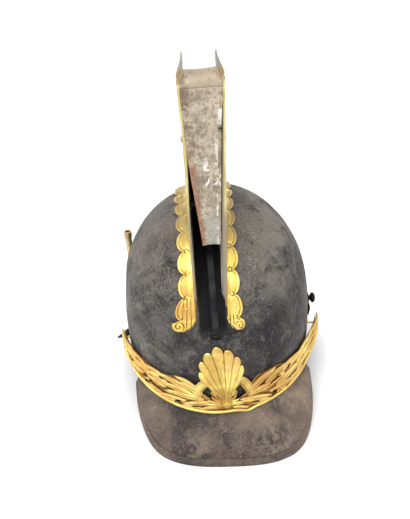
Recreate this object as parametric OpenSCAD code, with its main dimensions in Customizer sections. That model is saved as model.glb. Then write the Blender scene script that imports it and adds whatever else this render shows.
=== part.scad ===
// Cavalry helmet with a tall two-sided metal comb, a leather skull, a visor and a neck guard.
// Millimetres. +Z is up, the visor points along -Y, and the helmet stands on its two brims at z = 0.

/* [Skull] */
// Width of the skull at its widest level
skull_width = 197; // [191:1:203]
// Length of the skull at its widest level
skull_length = 234; // [228:1:240]
// Height of the widest level above the ground
widest_level = 83; // [80:1:86]
// Height of the skull's lower rim above the ground
rim_level = 32; // [30:1:34]
// Rise of the crown above the widest level
crown_rise = 128; // [122:1:134]
// Fullness of the dome's shoulders, 2 for an ellipsoid
dome_fullness = 2.25; // [2.1:0.05:2.5]
// Share of the width by which the rim draws in below the widest level
rim_tuck = 0.02; // [0:0.005:0.03]
// Thickness of the leather skull
skull_wall = 3; // [2.6:0.1:3.4]

/* [Visor and neck guard] */
// Width of the visor
visor_width = 180; // [174:1:184]
// Angle from the skull's side at which the visor's sewn edge starts
visor_root = 25; // [22:1:30]
// Reach of the visor in front of the skull
visor_reach = 36; // [34:1:38]
// Squareness of the visor's corners, 2 for a half ellipse
visor_corner = 3; // [2.8:0.1:3.2]
// Turn of the visor's edge to the right in degrees, from wear
visor_turn = 3.8; // [3:0.2:4.6]
// Width of the neck guard
neck_width = 150; // [144:1:156]
// Angle from the skull's side at which the neck guard's sewn edge starts
neck_root = 41; // [37:1:46]
// Reach of the neck guard behind the skull
neck_reach = 36; // [34:1:38]
// Squareness of the neck guard's corners
neck_corner = 2.3; // [2.1:0.1:2.6]
// Thickness of the brim leather
brim_wall = 2.4; // [2:0.1:2.8]
// Height of the brims' sewn upright edge on the skull
brim_upright = 11; // [9:0.5:12]
// Width of the binding sewn round a brim's edge
binding_width = 6; // [5:0.5:7]
// Thickness of the binding leather
binding_wall = 1.1; // [0.9:0.1:1.3]

/* [Comb] */
// Gap between the comb's side plates at their foot
comb_gap = 25; // [23:0.5:28]
// Sideways offset of the comb's foot from the skull's middle plane
comb_offset = -8; // [-9:0.5:-5]
// Lean of the whole comb to the right in degrees
comb_lean = 1; // [0:0.2:1.4]
// Turn of the whole comb, its rear end to the right, in degrees
comb_turn = 1.4; // [0:0.2:1.8]
// Outward lean of each side plate in degrees
comb_flare = 0.8; // [0.5:0.1:1.1]
// Sheet thickness of the side plates
comb_wall = 1; // [0.8:0.1:1.2]
// Height of the comb's front corner above the ground
comb_height = 362; // [350:1:372]
// Forward reach of that corner past the comb's foot
comb_forward = 10; // [8:1:12]
// Rise of the pointed tips above the front corner
comb_tip = 14; // [11:1:15]
// Angle over the dome at which the side plates start in front
comb_front_angle = 33; // [32:1:35]
// Angle over the dome at which the comb ends behind
comb_rear_angle = 154; // [150:1:156]
// Height of the raised leaves on the side plates
leaf_relief = 1; // [0.8:0.1:1.4]
// Width of the raised border along the comb's outline
border_width = 5; // [4:0.5:6]

/* [Scalloped flanges] */
// Width of the left flange from the side plate to the lobes' crests
flange_width_left = 16; // [15:0.5:18]
// Share of the width that the left flange loses in the middle of the front
flange_waist_left = 0.16; // [0.1:0.02:0.24]
// Width of the right flange, which is narrower
flange_width_right = 12.5; // [11.5:0.5:15]
// Share of the width that the right flange loses there
flange_waist_right = 0.08; // [0:0.02:0.14]
// Depth of the notches between the lobes
notch_depth = 4.5; // [3.5:0.5:5.5]
// Sheet thickness of the flange
flange_wall = 0.9; // [0.8:0.1:1.1]
// Angle over the dome at which the flange's foot starts
flange_front_angle = 22.5; // [22:0.5:24]
// Number of lobes on each flange
lobe_count = 14; // [12:1:15]
// Turn over the dome that the scroll at each flange's foot takes up
volute_turn = 6; // [5:0.5:7]

/* [Crest trough] */
// Depth of the trough's hollow
trough_depth = 4.5; // [4:0.5:6]
// Sheet thickness of the trough
trough_wall = 0.8; // [0.7:0.1:1]
// Height of the trough's free lower end above the ground
trough_end_level = 217; // [209:1:225]
// Width of that lower end
trough_end_width = 14.5; // [12.5:0.5:16.5]

/* [Wreath band] */
// Height of the band's lower edge above the rim
band_lift = 6; // [5:0.5:7]
// Height of the band near its middle, without its leaf tips
band_height = 32; // [30:0.5:34]
// Height of the band at its ends
band_end_height = 20; // [18:0.5:22]
// Rise of the band towards its ends
band_end_rise = 15; // [12:0.5:17]
// Distance by which the band's left end stands off further than its middle
band_spread_left = 1.5; // [1:0.5:3]
// The same for the right end, which has sprung away from the skull
band_spread_right = 6; // [4:0.5:7]
// Rise of the leaf tips above the band
leaf_tip = 5; // [4:0.5:6]
// Height of the two arches beside the palmette
arch_height = 40; // [38:0.5:42]
// Sheet thickness of the band
band_wall = 0.8; // [0.7:0.1:1]
// Angle from the side of the skull at which the band ends
band_end_angle = 5; // [4:1:8]
// Radius of the rolled bead on the lower edge
band_bead = 1.6; // [1.4:0.1:1.8]
// Number of leaves on each half of the wreath
leaf_count = 9; // [7:1:11]
// Height of the palmette's neck above the rim
palmette_lift = 34; // [32:0.5:36]
// Sideways shift of the palmette, which has turned on its rivet
palmette_shift = -0.5; // [-2:0.5:0]
// Height of the palmette's fan
palmette_height = 50; // [47:1:53]
// Number of lobes of the palmette
palmette_lobes = 7; // [5:2:9]

/* [Plume socket] */
// Radius of the socket's bore
socket_bore = 2.8; // [2.4:0.1:3.2]
// Wall of the socket tube
socket_wall = 0.8; // [0.7:0.1:1]
// Length of the socket tube
socket_length = 51; // [48:1:54]
// Height of the socket's foot above the ground
socket_level = 97; // [94:1:100]
// Angle behind the side of the skull at which the socket stands
socket_angle = 28; // [25:1:30]

/* [Chin strap fittings] */
// Height of the right stud above the ground
stud_level = 84; // [81:1:87]
// Radius of the right stud's knob
stud_radius = 5.6; // [5:0.2:6.2]
// Height of the left loop's bar above the ground
loop_level = 44; // [42:1:47]
// Length of the left loop's bar
loop_bar = 12; // [11:0.5:13]
// Reach of the left loop from its bar
loop_reach = 11.5; // [9:0.5:12]
// Radius of the loop's wire
loop_wire = 1.1; // [0.9:0.1:1.3]

/* [Lining] */
// Height of the sweatband
sweatband_height = 30; // [26:1:34]
// Thickness of the sweatband leather
sweatband_wall = 1.4; // [1.2:0.1:1.8]
// Thickness of the lining tongues
tongue_wall = 1; // [0.8:0.1:1.4]
// Radius of the draw cord
draw_cord = 1.2; // [1:0.1:1.6]

/* [Fasteners] */
// Radius of the screws that hold the flanges
screw_radius = 1.4; // [1.2:0.1:1.6]
// Radius of the rivets in the band and in the comb
rivet_radius = 1.2; // [1:0.1:1.4]
// Clearance between a shank and its hole
shank_gap = 0.15; // [0.1:0.05:0.2]
// Clearance between neighbouring sheets
seat_gap = 0.35; // [0.3:0.05:0.4]

/* [Hidden] */

$fn = 48;
skull_a = skull_width / 2;
skull_b = skull_length / 2;
rim_drop = widest_level - rim_level;
skull_columns = 56;
LEFT = -1;
RIGHT = 1;
FRONT = -1;
REAR = 1;

brass = [0.80, 0.64, 0.30];
steel = [0.62, 0.61, 0.58];
iron = [0.16, 0.15, 0.15];
leather = [0.17, 0.16, 0.15];
brown_leather = [0.27, 0.22, 0.19];

// Shape of the dome, as formulas that every piece on it shares

// Share of the full width and length that the skull has at a height above the widest level
function level_share(rise) = rise >= 0
    ? pow(max(0, 1 - pow(rise / crown_rise, dome_fullness)), 1 / dome_fullness)
    : 1 - rim_tuck * pow(rise / rim_drop, 2);

// Outward unit normal of the skull at a point of its surface
function skull_normal(p) =
    let(
        rise = p.z - widest_level,
        spread = norm([p.x / skull_a, p.y / skull_b]),
        side = pow(max(spread, 0.0001), dome_fullness - 2),
        up = rise >= 0
            ? pow(rise / crown_rise, dome_fullness - 1) / crown_rise
            : 2 * rim_tuck * rise / (rim_drop * rim_drop) * side,
        n = [p.x / (skull_a * skull_a) * side, p.y / (skull_b * skull_b) * side, up]
    )
    n / norm(n);

function off_skull(p, distance) = p + distance * skull_normal(p);

// Point of the skull at an angle round it and a height above the ground
function skull_at(angle, level) =
    let(share = level_share(level - widest_level))
    [skull_a * share * cos(angle), skull_b * share * sin(angle), level];

// Point of the skull's front at a distance from its middle plane and a height above the ground
function skull_front_at(x, level) =
    let(share = level_share(level - widest_level))
    [x, -skull_b * sqrt(max(0, share * share - pow(x / skull_a, 2))), level];

// Distance from the dome's centre to its surface along a ray over the dome
function ray_length(side_angle, over_angle) =
    let(
        spread = norm([sin(side_angle) / skull_a, cos(over_angle) * cos(side_angle) / skull_b]),
        rise = sin(over_angle) * cos(side_angle) / crown_rise
    )
    pow(pow(spread, dome_fullness) + pow(rise, dome_fullness), -1 / dome_fullness);

// Point of the dome at a distance from its middle plane, the angle counted from the front over the top
function over_dome(x, over_angle) =
    let(
        first = asin(x / ray_length(0, over_angle)),
        side_angle = asin(x / ray_length(first, over_angle)),
        r = ray_length(side_angle, over_angle)
    )
    [x, -r * cos(over_angle) * cos(side_angle), widest_level + r * sin(over_angle) * cos(side_angle)];

// Distance of a side plate's inner face from the comb's own middle at a height, and that middle's place
comb_foot_level = over_dome(comb_gap / 2, comb_front_angle).z;
comb_foot_depth = over_dome(comb_gap / 2, comb_front_angle).y;
function plate_x(level) = comb_gap / 2 + (level - comb_foot_level) * tan(comb_flare);
function comb_middle(p) =
    comb_offset + (p.y - comb_foot_level) * tan(comb_lean) + (p.x - comb_foot_depth) * tan(comb_turn);
function dome_place(over_angle) = let(p = over_dome(comb_gap / 2, over_angle)) [p.y, p.z];

// Small helpers for curves

function mix(a, b, t) = a * (1 - t) + b * t;
function smooth(t) = let(u = min(1, max(0, t))) u * u * (3 - 2 * u);
function reversed(list) = [for (i = [len(list) - 1:-1:0]) list[i]];
function unit(v) = v / norm(v);
function signed_pow(v, power) = sign(v) * pow(abs(v), power);
function bezier(p, t) =
    pow(1 - t, 3) * p[0] + 3 * t * pow(1 - t, 2) * p[1] + 3 * t * t * (1 - t) * p[2] + pow(t, 3) * p[3];
function sum_of(list, i = 0) = i == len(list) - 1 ? list[i] : list[i] + sum_of(list, i + 1);
function area_vector(ring) =
    sum_of([for (j = [0:len(ring) - 1]) cross(ring[j] - ring[0], ring[(j + 1) % len(ring)] - ring[0])]);

function quad(a, b, c, d, flip) = flip ? [[a, b, c], [a, c, d]] : [[a, c, b], [a, d, c]];

// Solid swept through a list of rings with equal counts of points, its ends closed unless it is a loop
module sweep(rings, loop = false) {
    count = len(rings);
    sides = len(rings[0]);
    flip = area_vector(rings[0]) * (rings[1][0] - rings[0][0]) < 0;
    walls = [
        for (i = [0:count - (loop ? 1 : 2)])
            for (j = [0:sides - 1])
                let(a = i * sides, b = ((i + 1) % count) * sides, k = (j + 1) % sides)
                    each quad(a + j, a + k, b + k, b + j, flip)
    ];
    caps = loop ? [] : [
        for (k = [0:floor(sides / 2) - 2])
            let(m = sides - 1, last = (count - 1) * sides)
                each concat(
                    quad(k, k + 1, m - 1 - k, m - k, !flip),
                    quad(last + k, last + k + 1, last + m - 1 - k, last + m - k, flip)
                )
    ];
    polyhedron([for (ring = rings) each ring], concat(walls, caps), convexity = 8);
}

// Puts its children on a point, with their z axis along a direction
module along(p, direction) {
    translate(p)
        rotate([0, acos(direction.z / norm(direction)), atan2(direction.y, direction.x)])
            children();
}

// Puts its children on the skull's surface at a point, with their z axis along the surface's normal
module on_skull(p) {
    along(p, skull_normal(p)) children();
}

// Skull

upper_rows = 11;
lower_rows = 3;
skull_levels = concat(
    [for (i = [0:lower_rows - 1]) rim_level + rim_drop * i / lower_rows],
    [for (i = [0:upper_rows - 1]) widest_level + crown_rise * pow(sin(90 * i / upper_rows), 2 / dome_fullness)]
);

module skull_shell() {
    rows = len(skull_levels);
    cols = skull_columns;
    outer = [
        for (level = skull_levels)
            for (c = [0:cols - 1])
                skull_at(360 * c / cols, level)
    ];
    inner = [
        for (p = outer)
            let(q = off_skull(p, -skull_wall))
                [q.x, q.y, p.z == rim_level ? rim_level : q.z]
    ];
    poles = [[0, 0, widest_level + crown_rise], [0, 0, widest_level + crown_rise - skull_wall]];
    inside = rows * cols;
    top = 2 * rows * cols;
    faces = concat(
        [
            for (r = [0:rows - 2])
                for (c = [0:cols - 1])
                    let(a = r * cols + c, b = r * cols + (c + 1) % cols)
                        each concat(
                            quad(a, b, b + cols, a + cols, false),
                            quad(inside + a, inside + b, inside + b + cols, inside + a + cols, true)
                        )
        ],
        [
            for (c = [0:cols - 1])
                let(a = (rows - 1) * cols + c, b = (rows - 1) * cols + (c + 1) % cols)
                    each [[a, top, b], [inside + a, inside + b, top + 1]]
        ],
        [
            for (c = [0:cols - 1])
                let(b = (c + 1) % cols)
                    each quad(inside + c, inside + b, b, c, false)
        ]
    );
    polyhedron(concat(outer, inner, poles), faces, convexity = 8);
}

// Empty slot in the front of the skull where the comb's front cover was screwed on
slot_radius = 1.9;
slot_stretch = 1.6;
slot_angle = 20;
slot_offset = -5.5;

module skull() {
    color(leather)
        difference() {
            skull_shell();
            on_skull(over_dome(slot_offset, slot_angle))
                for (shift = [-1, 1])
                    translate([0, shift * slot_stretch / 2, 0])
                        cylinder(r = slot_radius, h = 4 * skull_wall, center = true);
            for (p = flange_screw_points())
                on_skull(p) cylinder(r = screw_radius + shank_gap, h = 4 * skull_wall, center = true);
            for (p = band_rivet_points())
                on_skull(p) cylinder(r = rivet_radius + shank_gap, h = 4 * skull_wall, center = true);
            for (p = socket_screw_points())
                on_skull(p) cylinder(r = rivet_radius + shank_gap, h = 4 * skull_wall, center = true);
            on_skull(stud_point())
                cylinder(r = stud_shank + shank_gap, h = 4 * skull_wall, center = true);
            for (p = staple_leg_points())
                on_skull(p) cylinder(r = staple_leg + shank_gap, h = 4 * skull_wall, center = true);
        }
}

// Visor and neck guard: each is one sheet that turns from a sewn upright edge into the brim

brim_steps = 28;
brim_first = 3;
brim_foot = 1.3;
brim_start_drop = 4;
brim_bend = 3;
brim_belly = 2.5;
binding_slack = seat_gap;
flat_from = 58;

function brim_edge(end, width, root, reach, corner, turn) =
    let(
        start = skull_b * (1 - rim_tuck) * sin(root),
        forward = start + (skull_b + reach - start) * signed_pow(sin(turn), 2 / corner),
        drop = smooth(sin(turn) / sin(flat_from)),
        side = width / 2 * signed_pow(cos(turn), 2 / corner),
        turned = end == FRONT ? side * tan(visor_turn) * sin(turn) : 0
    )
    [side, end * (forward + turned), mix(rim_level - brim_start_drop, brim_foot, drop)];

// Middle surface of a brim, as rows from the upright edge to the outer edge
function brim_row(end, width, root, reach, corner, turn) =
    let(
        angle = end * mix(root, 180 - root, turn / 180),
        stand = seat_gap + brim_wall / 2,
        top = off_skull(skull_at(angle, rim_level + brim_upright), stand),
        bend = off_skull(skull_at(angle, rim_level + brim_bend), stand),
        edge = brim_edge(end, width, root, reach, corner, turn),
        belly = [0, 0, brim_belly]
    )
    concat([top, bend], [for (t = [0.2, 0.5, 0.8, 1]) mix(bend, edge, t) + belly * sin(180 * t)]);

function brim_turns() = [for (i = [0:brim_steps]) mix(brim_first, 180 - brim_first, i / brim_steps)];

// Unit normal of a grid of points, pointing up and out for both brims
function grid_normal(grid, i, j, end) =
    let(
        i0 = max(0, i - 1),
        i1 = min(len(grid) - 1, i + 1),
        j0 = max(0, j - 1),
        j1 = min(len(grid[0]) - 1, j + 1)
    )
    unit(end * cross(grid[i1][j] - grid[i0][j], grid[i][j1] - grid[i][j0]));

module brim(end, width, root, reach, corner) {
    grid = [for (turn = brim_turns()) brim_row(end, width, root, reach, corner, turn)];
    columns = len(grid[0]) - 1;
    sweep([
        for (i = [0:brim_steps])
            let(
                over = [for (j = [0:columns]) grid[i][j] + brim_wall / 2 * grid_normal(grid, i, j, -end)],
                under = [for (j = [0:columns]) grid[i][j] - brim_wall / 2 * grid_normal(grid, i, j, -end)]
            )
            concat(over, reversed(under))
    ]);
}

// Folded binding round a brim's edge, cut level where the helmet stands on it
module brim_binding(end, width, root, reach, corner) {
    grid = [for (turn = brim_turns()) brim_row(end, width, root, reach, corner, turn)];
    last = len(grid[0]) - 1;
    hold = brim_wall / 2 + binding_slack;
    lip = hold + binding_wall;
    difference() {
        sweep([
            for (i = [0:brim_steps])
                let(
                    edge = grid[i][last],
                    n = grid_normal(grid, i, last, -end),
                    w = unit(edge - grid[i][last - 1])
                )
                [
                    for (s = [
                        [-binding_width, lip], [0, lip], [binding_slack + binding_wall, lip / 2],
                        [binding_slack + binding_wall, -lip / 2], [0, -lip], [-binding_width, -lip],
                        [-binding_width, -hold], [binding_slack, -hold], [binding_slack, hold],
                        [-binding_width, hold]
                    ])
                        edge + s[0] * w + s[1] * n
                ]
        ]);
        translate([-skull_width, -skull_length, -skull_wall * 4])
            cube([2 * skull_width, 2 * skull_length, skull_wall * 4]);
    }
}

module visor() {
    color(brown_leather)
        difference() {
            brim(FRONT, visor_width, visor_root, visor_reach, visor_corner);
            for (p = band_rivet_points())
                on_skull(p) cylinder(r = rivet_radius + shank_gap, h = 6 * skull_wall, center = true);
        }
}

module visor_binding() {
    color(leather) brim_binding(FRONT, visor_width, visor_root, visor_reach, visor_corner);
}

module neck_guard() {
    color(brown_leather) brim(REAR, neck_width, neck_root, neck_reach, neck_corner);
}

module neck_guard_binding() {
    color(leather) brim_binding(REAR, neck_width, neck_root, neck_reach, neck_corner);
}

// Comb side plates

base_steps = 24;
top_steps = 20;
top_first = 3;
plate_seat = 0.6;
pin_seat = 0.1;

function base_point(over_angle, x = comb_gap / 2) =
    let(p = off_skull(over_dome(x, over_angle), plate_seat)) [p.y, p.z];
function side_base_point(over_angle, side) =
    let(p = dome_place(over_angle))
    base_point(over_angle, comb_middle(p) + side * (plate_x(p.y) + (side == LEFT ? comb_wall : 0)));

comb_foot = base_point(comb_front_angle);
comb_heel = base_point(comb_rear_angle);
comb_corner = [comb_foot.x - comb_forward, comb_height];
top_curve = [
    comb_corner + [top_first, 0],
    comb_corner + [62, -3],
    [comb_heel.x - 6, mix(comb_height, comb_heel.y, 0.42)],
    comb_heel
];

function top_point(t, inset) =
    let(
        p = bezier(top_curve, t),
        direction = unit(bezier(top_curve, min(1, t + 0.01)) - bezier(top_curve, max(0, t - 0.01)))
    )
    p + inset * [direction.y, -direction.x];

function front_point(level, inset) =
    [mix(comb_foot.x, comb_corner.x, (level - comb_foot.y) / (comb_height - comb_foot.y)) + inset, level];

function plate_outline(side) = concat(
    [comb_corner + [0, -14], comb_corner + [-2.5, -5], comb_corner + [-1, 4]],
    [comb_corner + [1.5, comb_tip], comb_corner + [4.5, 4.5]],
    [for (i = [1:top_steps - 1]) top_point(i / top_steps, 0)],
    [
        for (i = [0:base_steps])
            side_base_point(mix(comb_rear_angle, comb_front_angle, i / base_steps), side)
    ]
);

// Raised border that follows the front edge and the top edge
function border_outline() = concat(
    [front_point(comb_foot.y + 12, 0.8), front_point(comb_height - 8, 0.8)],
    [for (i = [1:top_steps - 3]) top_point(i / top_steps, 0.8)],
    [for (i = [top_steps - 3:-1:1]) top_point(i / top_steps, border_width)],
    [front_point(comb_height - 8 - border_width, border_width), front_point(comb_foot.y + 12, border_width)]
);

// Long raised leaves that fan from the flange towards the top edge
leaf_fan = 9;
leaf_half_width = 6.5;
leaf_inset = 24;
leaf_lift = 13;
leaf_bow = 5;
function leaf_outline(i) =
    let(
        share = (i + 0.7) / (leaf_fan + 0.6),
        foot = base_point(mix(comb_front_angle + 7, comb_rear_angle - 12, share)),
        outward = unit(foot - [0, widest_level]),
        from = foot + leaf_lift * outward,
        to = top_point(mix(0.04, 0.86, share), leaf_inset),
        direction = unit(to - from),
        across = [direction.y, -direction.x],
        bow = leaf_bow * across
    )
    [
        for (k = [0:15])
            let(
                t = k < 8 ? k / 8 : 2 - k / 8,
                edge = (k < 8 ? 1 : -1) * leaf_half_width * pow(sin(180 * pow(t, 0.75)), 0.8)
            )
            mix(from, to, t) + edge * across + bow * sin(180 * t)
    ];

pin_inset = 15;
pin_points = concat(
    [for (share = [0.23, 0.62]) front_point(mix(trough_end_level, comb_height, share), pin_inset)],
    [for (t = [0.16, 0.38, 0.58, 0.78]) top_point(t, pin_inset)]
);

module comb_side(side) {
    translate([comb_offset + side * comb_gap / 2, comb_foot_depth, comb_foot_level])
        rotate([0, side * comb_flare + comb_lean, -comb_turn])
            translate([side > 0 ? 0 : -comb_wall, -comb_foot_depth, -comb_foot_level])
                difference() {
                    union() {
                        rotate([90, 0, 90])
                            linear_extrude(comb_wall)
                                polygon(plate_outline(side));
                        translate([side > 0 ? 0 : -leaf_relief, 0, 0])
                            rotate([90, 0, 90])
                                linear_extrude(comb_wall + leaf_relief)
                                    polygon(border_outline());
                        translate([side > 0 ? 0 : -leaf_relief, 0, 0])
                            rotate([90, 0, 90])
                                for (i = [0:leaf_fan - 1])
                                    linear_extrude(comb_wall + leaf_relief)
                                        polygon(leaf_outline(i));
                    }
                    for (p = pin_points)
                        translate([0, p.x, p.y])
                            rotate([0, 90, 0]) {
                                cylinder(r = rivet_radius + 2 * shank_gap, h = 6 * comb_wall + leaf_relief,
                                    center = true);
                                translate([0, 0, side > 0 ? comb_wall + pin_seat : -leaf_relief - pin_seat])
                                    cylinder(r = pin_head + seat_gap, h = leaf_relief);
                            }
                }
}

module comb_side_left() { color(brass) comb_side(LEFT); }
module comb_side_right() { color(brass) comb_side(RIGHT); }

// Scalloped flanges that lie on the skull on each side of the comb

lobe_steps = 5;
lobe_rise = 0.9;
bead_rise = 1.1;
flange_rear_angle = comb_rear_angle + 2;

function lobe_round(share) = sqrt(max(0, 1 - pow(2 * share - 1, 2)));
function lobe_angle(share) =
    let(first = flange_front_angle + volute_turn)
    share < 1
        ? mix(flange_front_angle, first, share)
        : mix(first, flange_rear_angle, (share - 1) / (lobe_count - 1));
foot_turn = 3;
tip_turn = 2;
flange_gap = 0.6;
bead_width = 2.5;
lobe_crest_share = 0.62;
waist_span = 72;
volute_extra_left = 6;
volute_extra_right = 3;
function volute_extra(side) = side == LEFT ? volute_extra_left : volute_extra_right;
function flange_waist(over_angle) = sin(180 * min(1, (over_angle - flange_front_angle) / waist_span));
function flange_width(side, over_angle) =
    side == LEFT
        ? flange_width_left * (1 - flange_waist_left * flange_waist(over_angle))
        : flange_width_right * (1 - flange_waist_right * flange_waist(over_angle));
function flange_inner(over_angle) =
    plate_x(over_dome(comb_gap / 2, over_angle).z) + comb_wall + flange_gap;
function flange_point(side, x, over_angle) =
    over_dome(comb_middle(dome_place(over_angle)) + side * x, over_angle);

function flange_ring(side, step) =
    let(
        share = step / lobe_steps,
        over_angle = lobe_angle(share),
        round = lobe_round(share - floor(min(share, lobe_count - 0.001))),
        inner = flange_inner(over_angle),
        foot = 1 - smooth(share),
        width = flange_width(side, over_angle) + volute_extra(side) * foot,
        outer = inner + width - notch_depth * (1 - round),
        rows = [
            [inner, flange_wall + bead_rise], [inner + bead_width, flange_wall],
            [mix(inner, outer, lobe_crest_share), flange_wall + lobe_rise * round], [outer, flange_wall]
        ],
        under = [for (j = [3:-1:0]) [rows[j][0], 0]]
    )
    [
        for (q = concat(rows, under))
            let(
                r = (q[0] - inner) / (outer - inner),
                turn = foot * (foot_turn * (1 - r) + tip_turn * pow(r, 6))
            )
                off_skull(flange_point(side, q[0], over_angle + turn), seat_gap + q[1])
    ];

module comb_flange(side) {
    difference() {
        sweep([for (step = [0:lobe_count * lobe_steps]) flange_ring(side, step)]);
        for (p = flange_screw_points())
            on_skull(p) cylinder(r = screw_radius + shank_gap, h = 4 * skull_wall, center = true);
    }
}

module comb_flange_left() { color(brass) comb_flange(LEFT); }
module comb_flange_right() { color(brass) comb_flange(RIGHT); }

// Screws through the flanges and the skull, with nuts inside
flange_screw_lobes = [1.5, floor(lobe_count / 2) + 0.5, lobe_count - 1.5];
screw_head = 2.4;
nut_radius = 3.2;
nut_height = 2;
inside_slack = 1;

function flange_screw_points() = [
    for (side = [LEFT, RIGHT])
        for (lobe = flange_screw_lobes)
            let(angle = lobe_angle(lobe))
                flange_point(side, flange_inner(angle) + flange_width(side, angle) * 0.55, angle)
];

module domed_head(radius, height) {
    cylinder(r = radius, h = height * 0.4);
    translate([0, 0, height * 0.4]) cylinder(r1 = radius, r2 = radius * 0.55, h = height * 0.6);
}

module through_screw(shank, head, head_seat, depth) {
    translate([0, 0, -depth]) cylinder(r = shank, h = depth + head_seat + 0.1);
    translate([0, 0, head_seat]) domed_head(head, head * 0.6);
}

module hex_nut(bore) {
    translate([0, 0, -skull_wall - inside_slack - nut_height])
        difference() {
            cylinder(r = nut_radius, h = nut_height, $fn = 6);
            cylinder(r = bore, h = 3 * nut_height, center = true);
        }
}

module comb_flange_screws() {
    color(brass)
        for (p = flange_screw_points())
            on_skull(p)
                through_screw(
                    screw_radius, screw_head,
                    seat_gap + flange_wall + lobe_rise + seat_gap,
                    skull_wall + inside_slack + nut_height + 0.6
                );
}

module comb_flange_nuts() {
    color(iron)
        for (p = flange_screw_points())
            on_skull(p) hex_nut(screw_radius + shank_gap);
}

// Blackened strap along the middle of the skull inside the comb
strap_half_width = 2.7;
strap_wall = 1.4;
strap_front_angle = slot_angle + 3;
strap_steps = 22;

module comb_strap() {
    color(iron)
        sweep([
            for (i = [0:strap_steps])
                let(angle = mix(strap_front_angle, comb_rear_angle, i / strap_steps))
                    [
                        for (q = [
                            [-strap_half_width, strap_wall], [strap_half_width, strap_wall],
                            [strap_half_width, 0], [-strap_half_width, 0]
                        ])
                            off_skull(over_dome(slot_offset + q[0], angle), seat_gap + q[1])
                    ]
        ]);
}

// Rivets across the comb, with spacer tubes between the side plates
spacer_radius = 2.8;
pin_head = 2.4;
plate_slack = 0.3;

module across_comb(p) {
    translate([comb_middle(p), p.x, p.y]) rotate([0, 90, 0]) children();
}

module comb_cross_pins() {
    color(brass)
        for (p = pin_points) {
            reach = plate_x(p.y) + comb_wall + plate_slack;
            across_comb(p) cylinder(r = rivet_radius, h = 2 * reach + 0.2, center = true);
            for (side = [LEFT, RIGHT])
                across_comb(p)
                    scale([1, 1, side])
                        translate([0, 0, reach])
                            domed_head(pin_head, 1.4);
        }
}

module comb_spacers() {
    color(iron)
        for (p = pin_points) {
            span = 2 * (plate_x(p.y) - plate_slack);
            across_comb(p)
                difference() {
                    cylinder(r = spacer_radius, h = span, center = true);
                    cylinder(r = rivet_radius + shank_gap, h = span + 1, center = true);
                }
        }
}

// Trough for the crest: up the open front, round the corner and down the top of the comb
trough_inset = 0.6;
corner_radius = 13;
trough_front_steps = 8;
trough_bend_steps = 5;
trough_top_steps = 13;
trough_across = 6;
trough_bend_share = 0.3;
trough_bend_reach = 80;
trough_end_flat = 0.6;
trough_end_inset = 2.5;
trough_bend_level = comb_height - corner_radius - trough_inset;
free_height = comb_height - corner_radius - trough_end_level;

// Middle line of the trough's edges with its inward direction, from the free end to the heel
function trough_stations() = concat(
    [
        for (i = [0:trough_front_steps])
            let(level = mix(trough_end_level, trough_bend_level, i / trough_front_steps))
                [front_point(level, trough_inset), [1, 0]]
    ],
    [
        for (i = [1:trough_bend_steps - 1])
            let(
                turn = 90 * i / trough_bend_steps,
                start = front_point(trough_bend_level, trough_inset),
                centre = start + [corner_radius, 0]
            )
            [centre + corner_radius * [-cos(turn), sin(turn)], [cos(turn), -sin(turn)]]
    ],
    [
        for (i = [0:trough_top_steps])
            let(
                t = mix(0.1, 0.9, i / trough_top_steps),
                p = top_point(t, trough_inset),
                inward = unit(top_point(t, trough_inset + 1) - p)
            )
            [p, inward]
    ]
);

function trough_place(p, x) = [comb_middle(p) + x, p.x, p.y];

function trough_ring(station) =
    let(
        p = station[0],
        inward = station[1],
        side = plate_x(p.y) - seat_gap,
        on_front = p.x < comb_corner.x + corner_radius ? 1 : 0,
        free = on_front * max(0, (comb_height - corner_radius - p.y) / free_height),
        right = side - trough_end_inset * free,
        left = mix(-side, right - trough_end_width, pow(free, 1.25)),
        from_corner = smooth(norm(p - comb_corner) / trough_bend_reach),
        depth = trough_depth * (1 - trough_end_flat * free) * mix(trough_bend_share, 1, from_corner),
        hollow = [
            for (j = [0:trough_across])
                let(x = mix(left, right, j / trough_across), u = 2 * j / trough_across - 1)
                    [x, depth * (1 - u * u)]
        ]
    )
    concat(
        [for (h = hollow) trough_place(p + h[1] * inward, h[0])],
        [for (h = reversed(hollow)) trough_place(p + (h[1] + trough_wall) * inward, h[0])]
    );

module crest_trough() {
    color(steel) sweep([for (station = trough_stations()) trough_ring(station)]);
}

// Wreath band round the front of the rim, with a rolled bead below and leaf tips above
band_steps = 96;
band_stand = seat_gap + brim_wall + seat_gap;
band_foot = 0.8;

arch_share = 0.17;
arch_first = 0.035;
arch_reach = arch_share + 0.03 - arch_first;
stem_clear = 20;

// Height of the band at a share of the way from its middle to an end
function band_top(middle, share) = middle < arch_share
    ? mix(stem_clear, arch_height, pow(sin(180 * max(0, middle - arch_first) / arch_reach), 0.7))
    : mix(band_height, band_end_height, pow(middle, 1.5)) * (1 - 0.35 * smooth((middle - 0.8) / 0.2))
        + leaf_tip * tip_shape(share);

function tip_shape(share) = pow(share, 0.8) * (share > 0.86 ? (1 - share) / 0.14 : 1);
function leaf_share(step) =
    let(from_middle = abs(2 * step / band_steps - 1) * leaf_count) from_middle - floor(from_middle);

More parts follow.
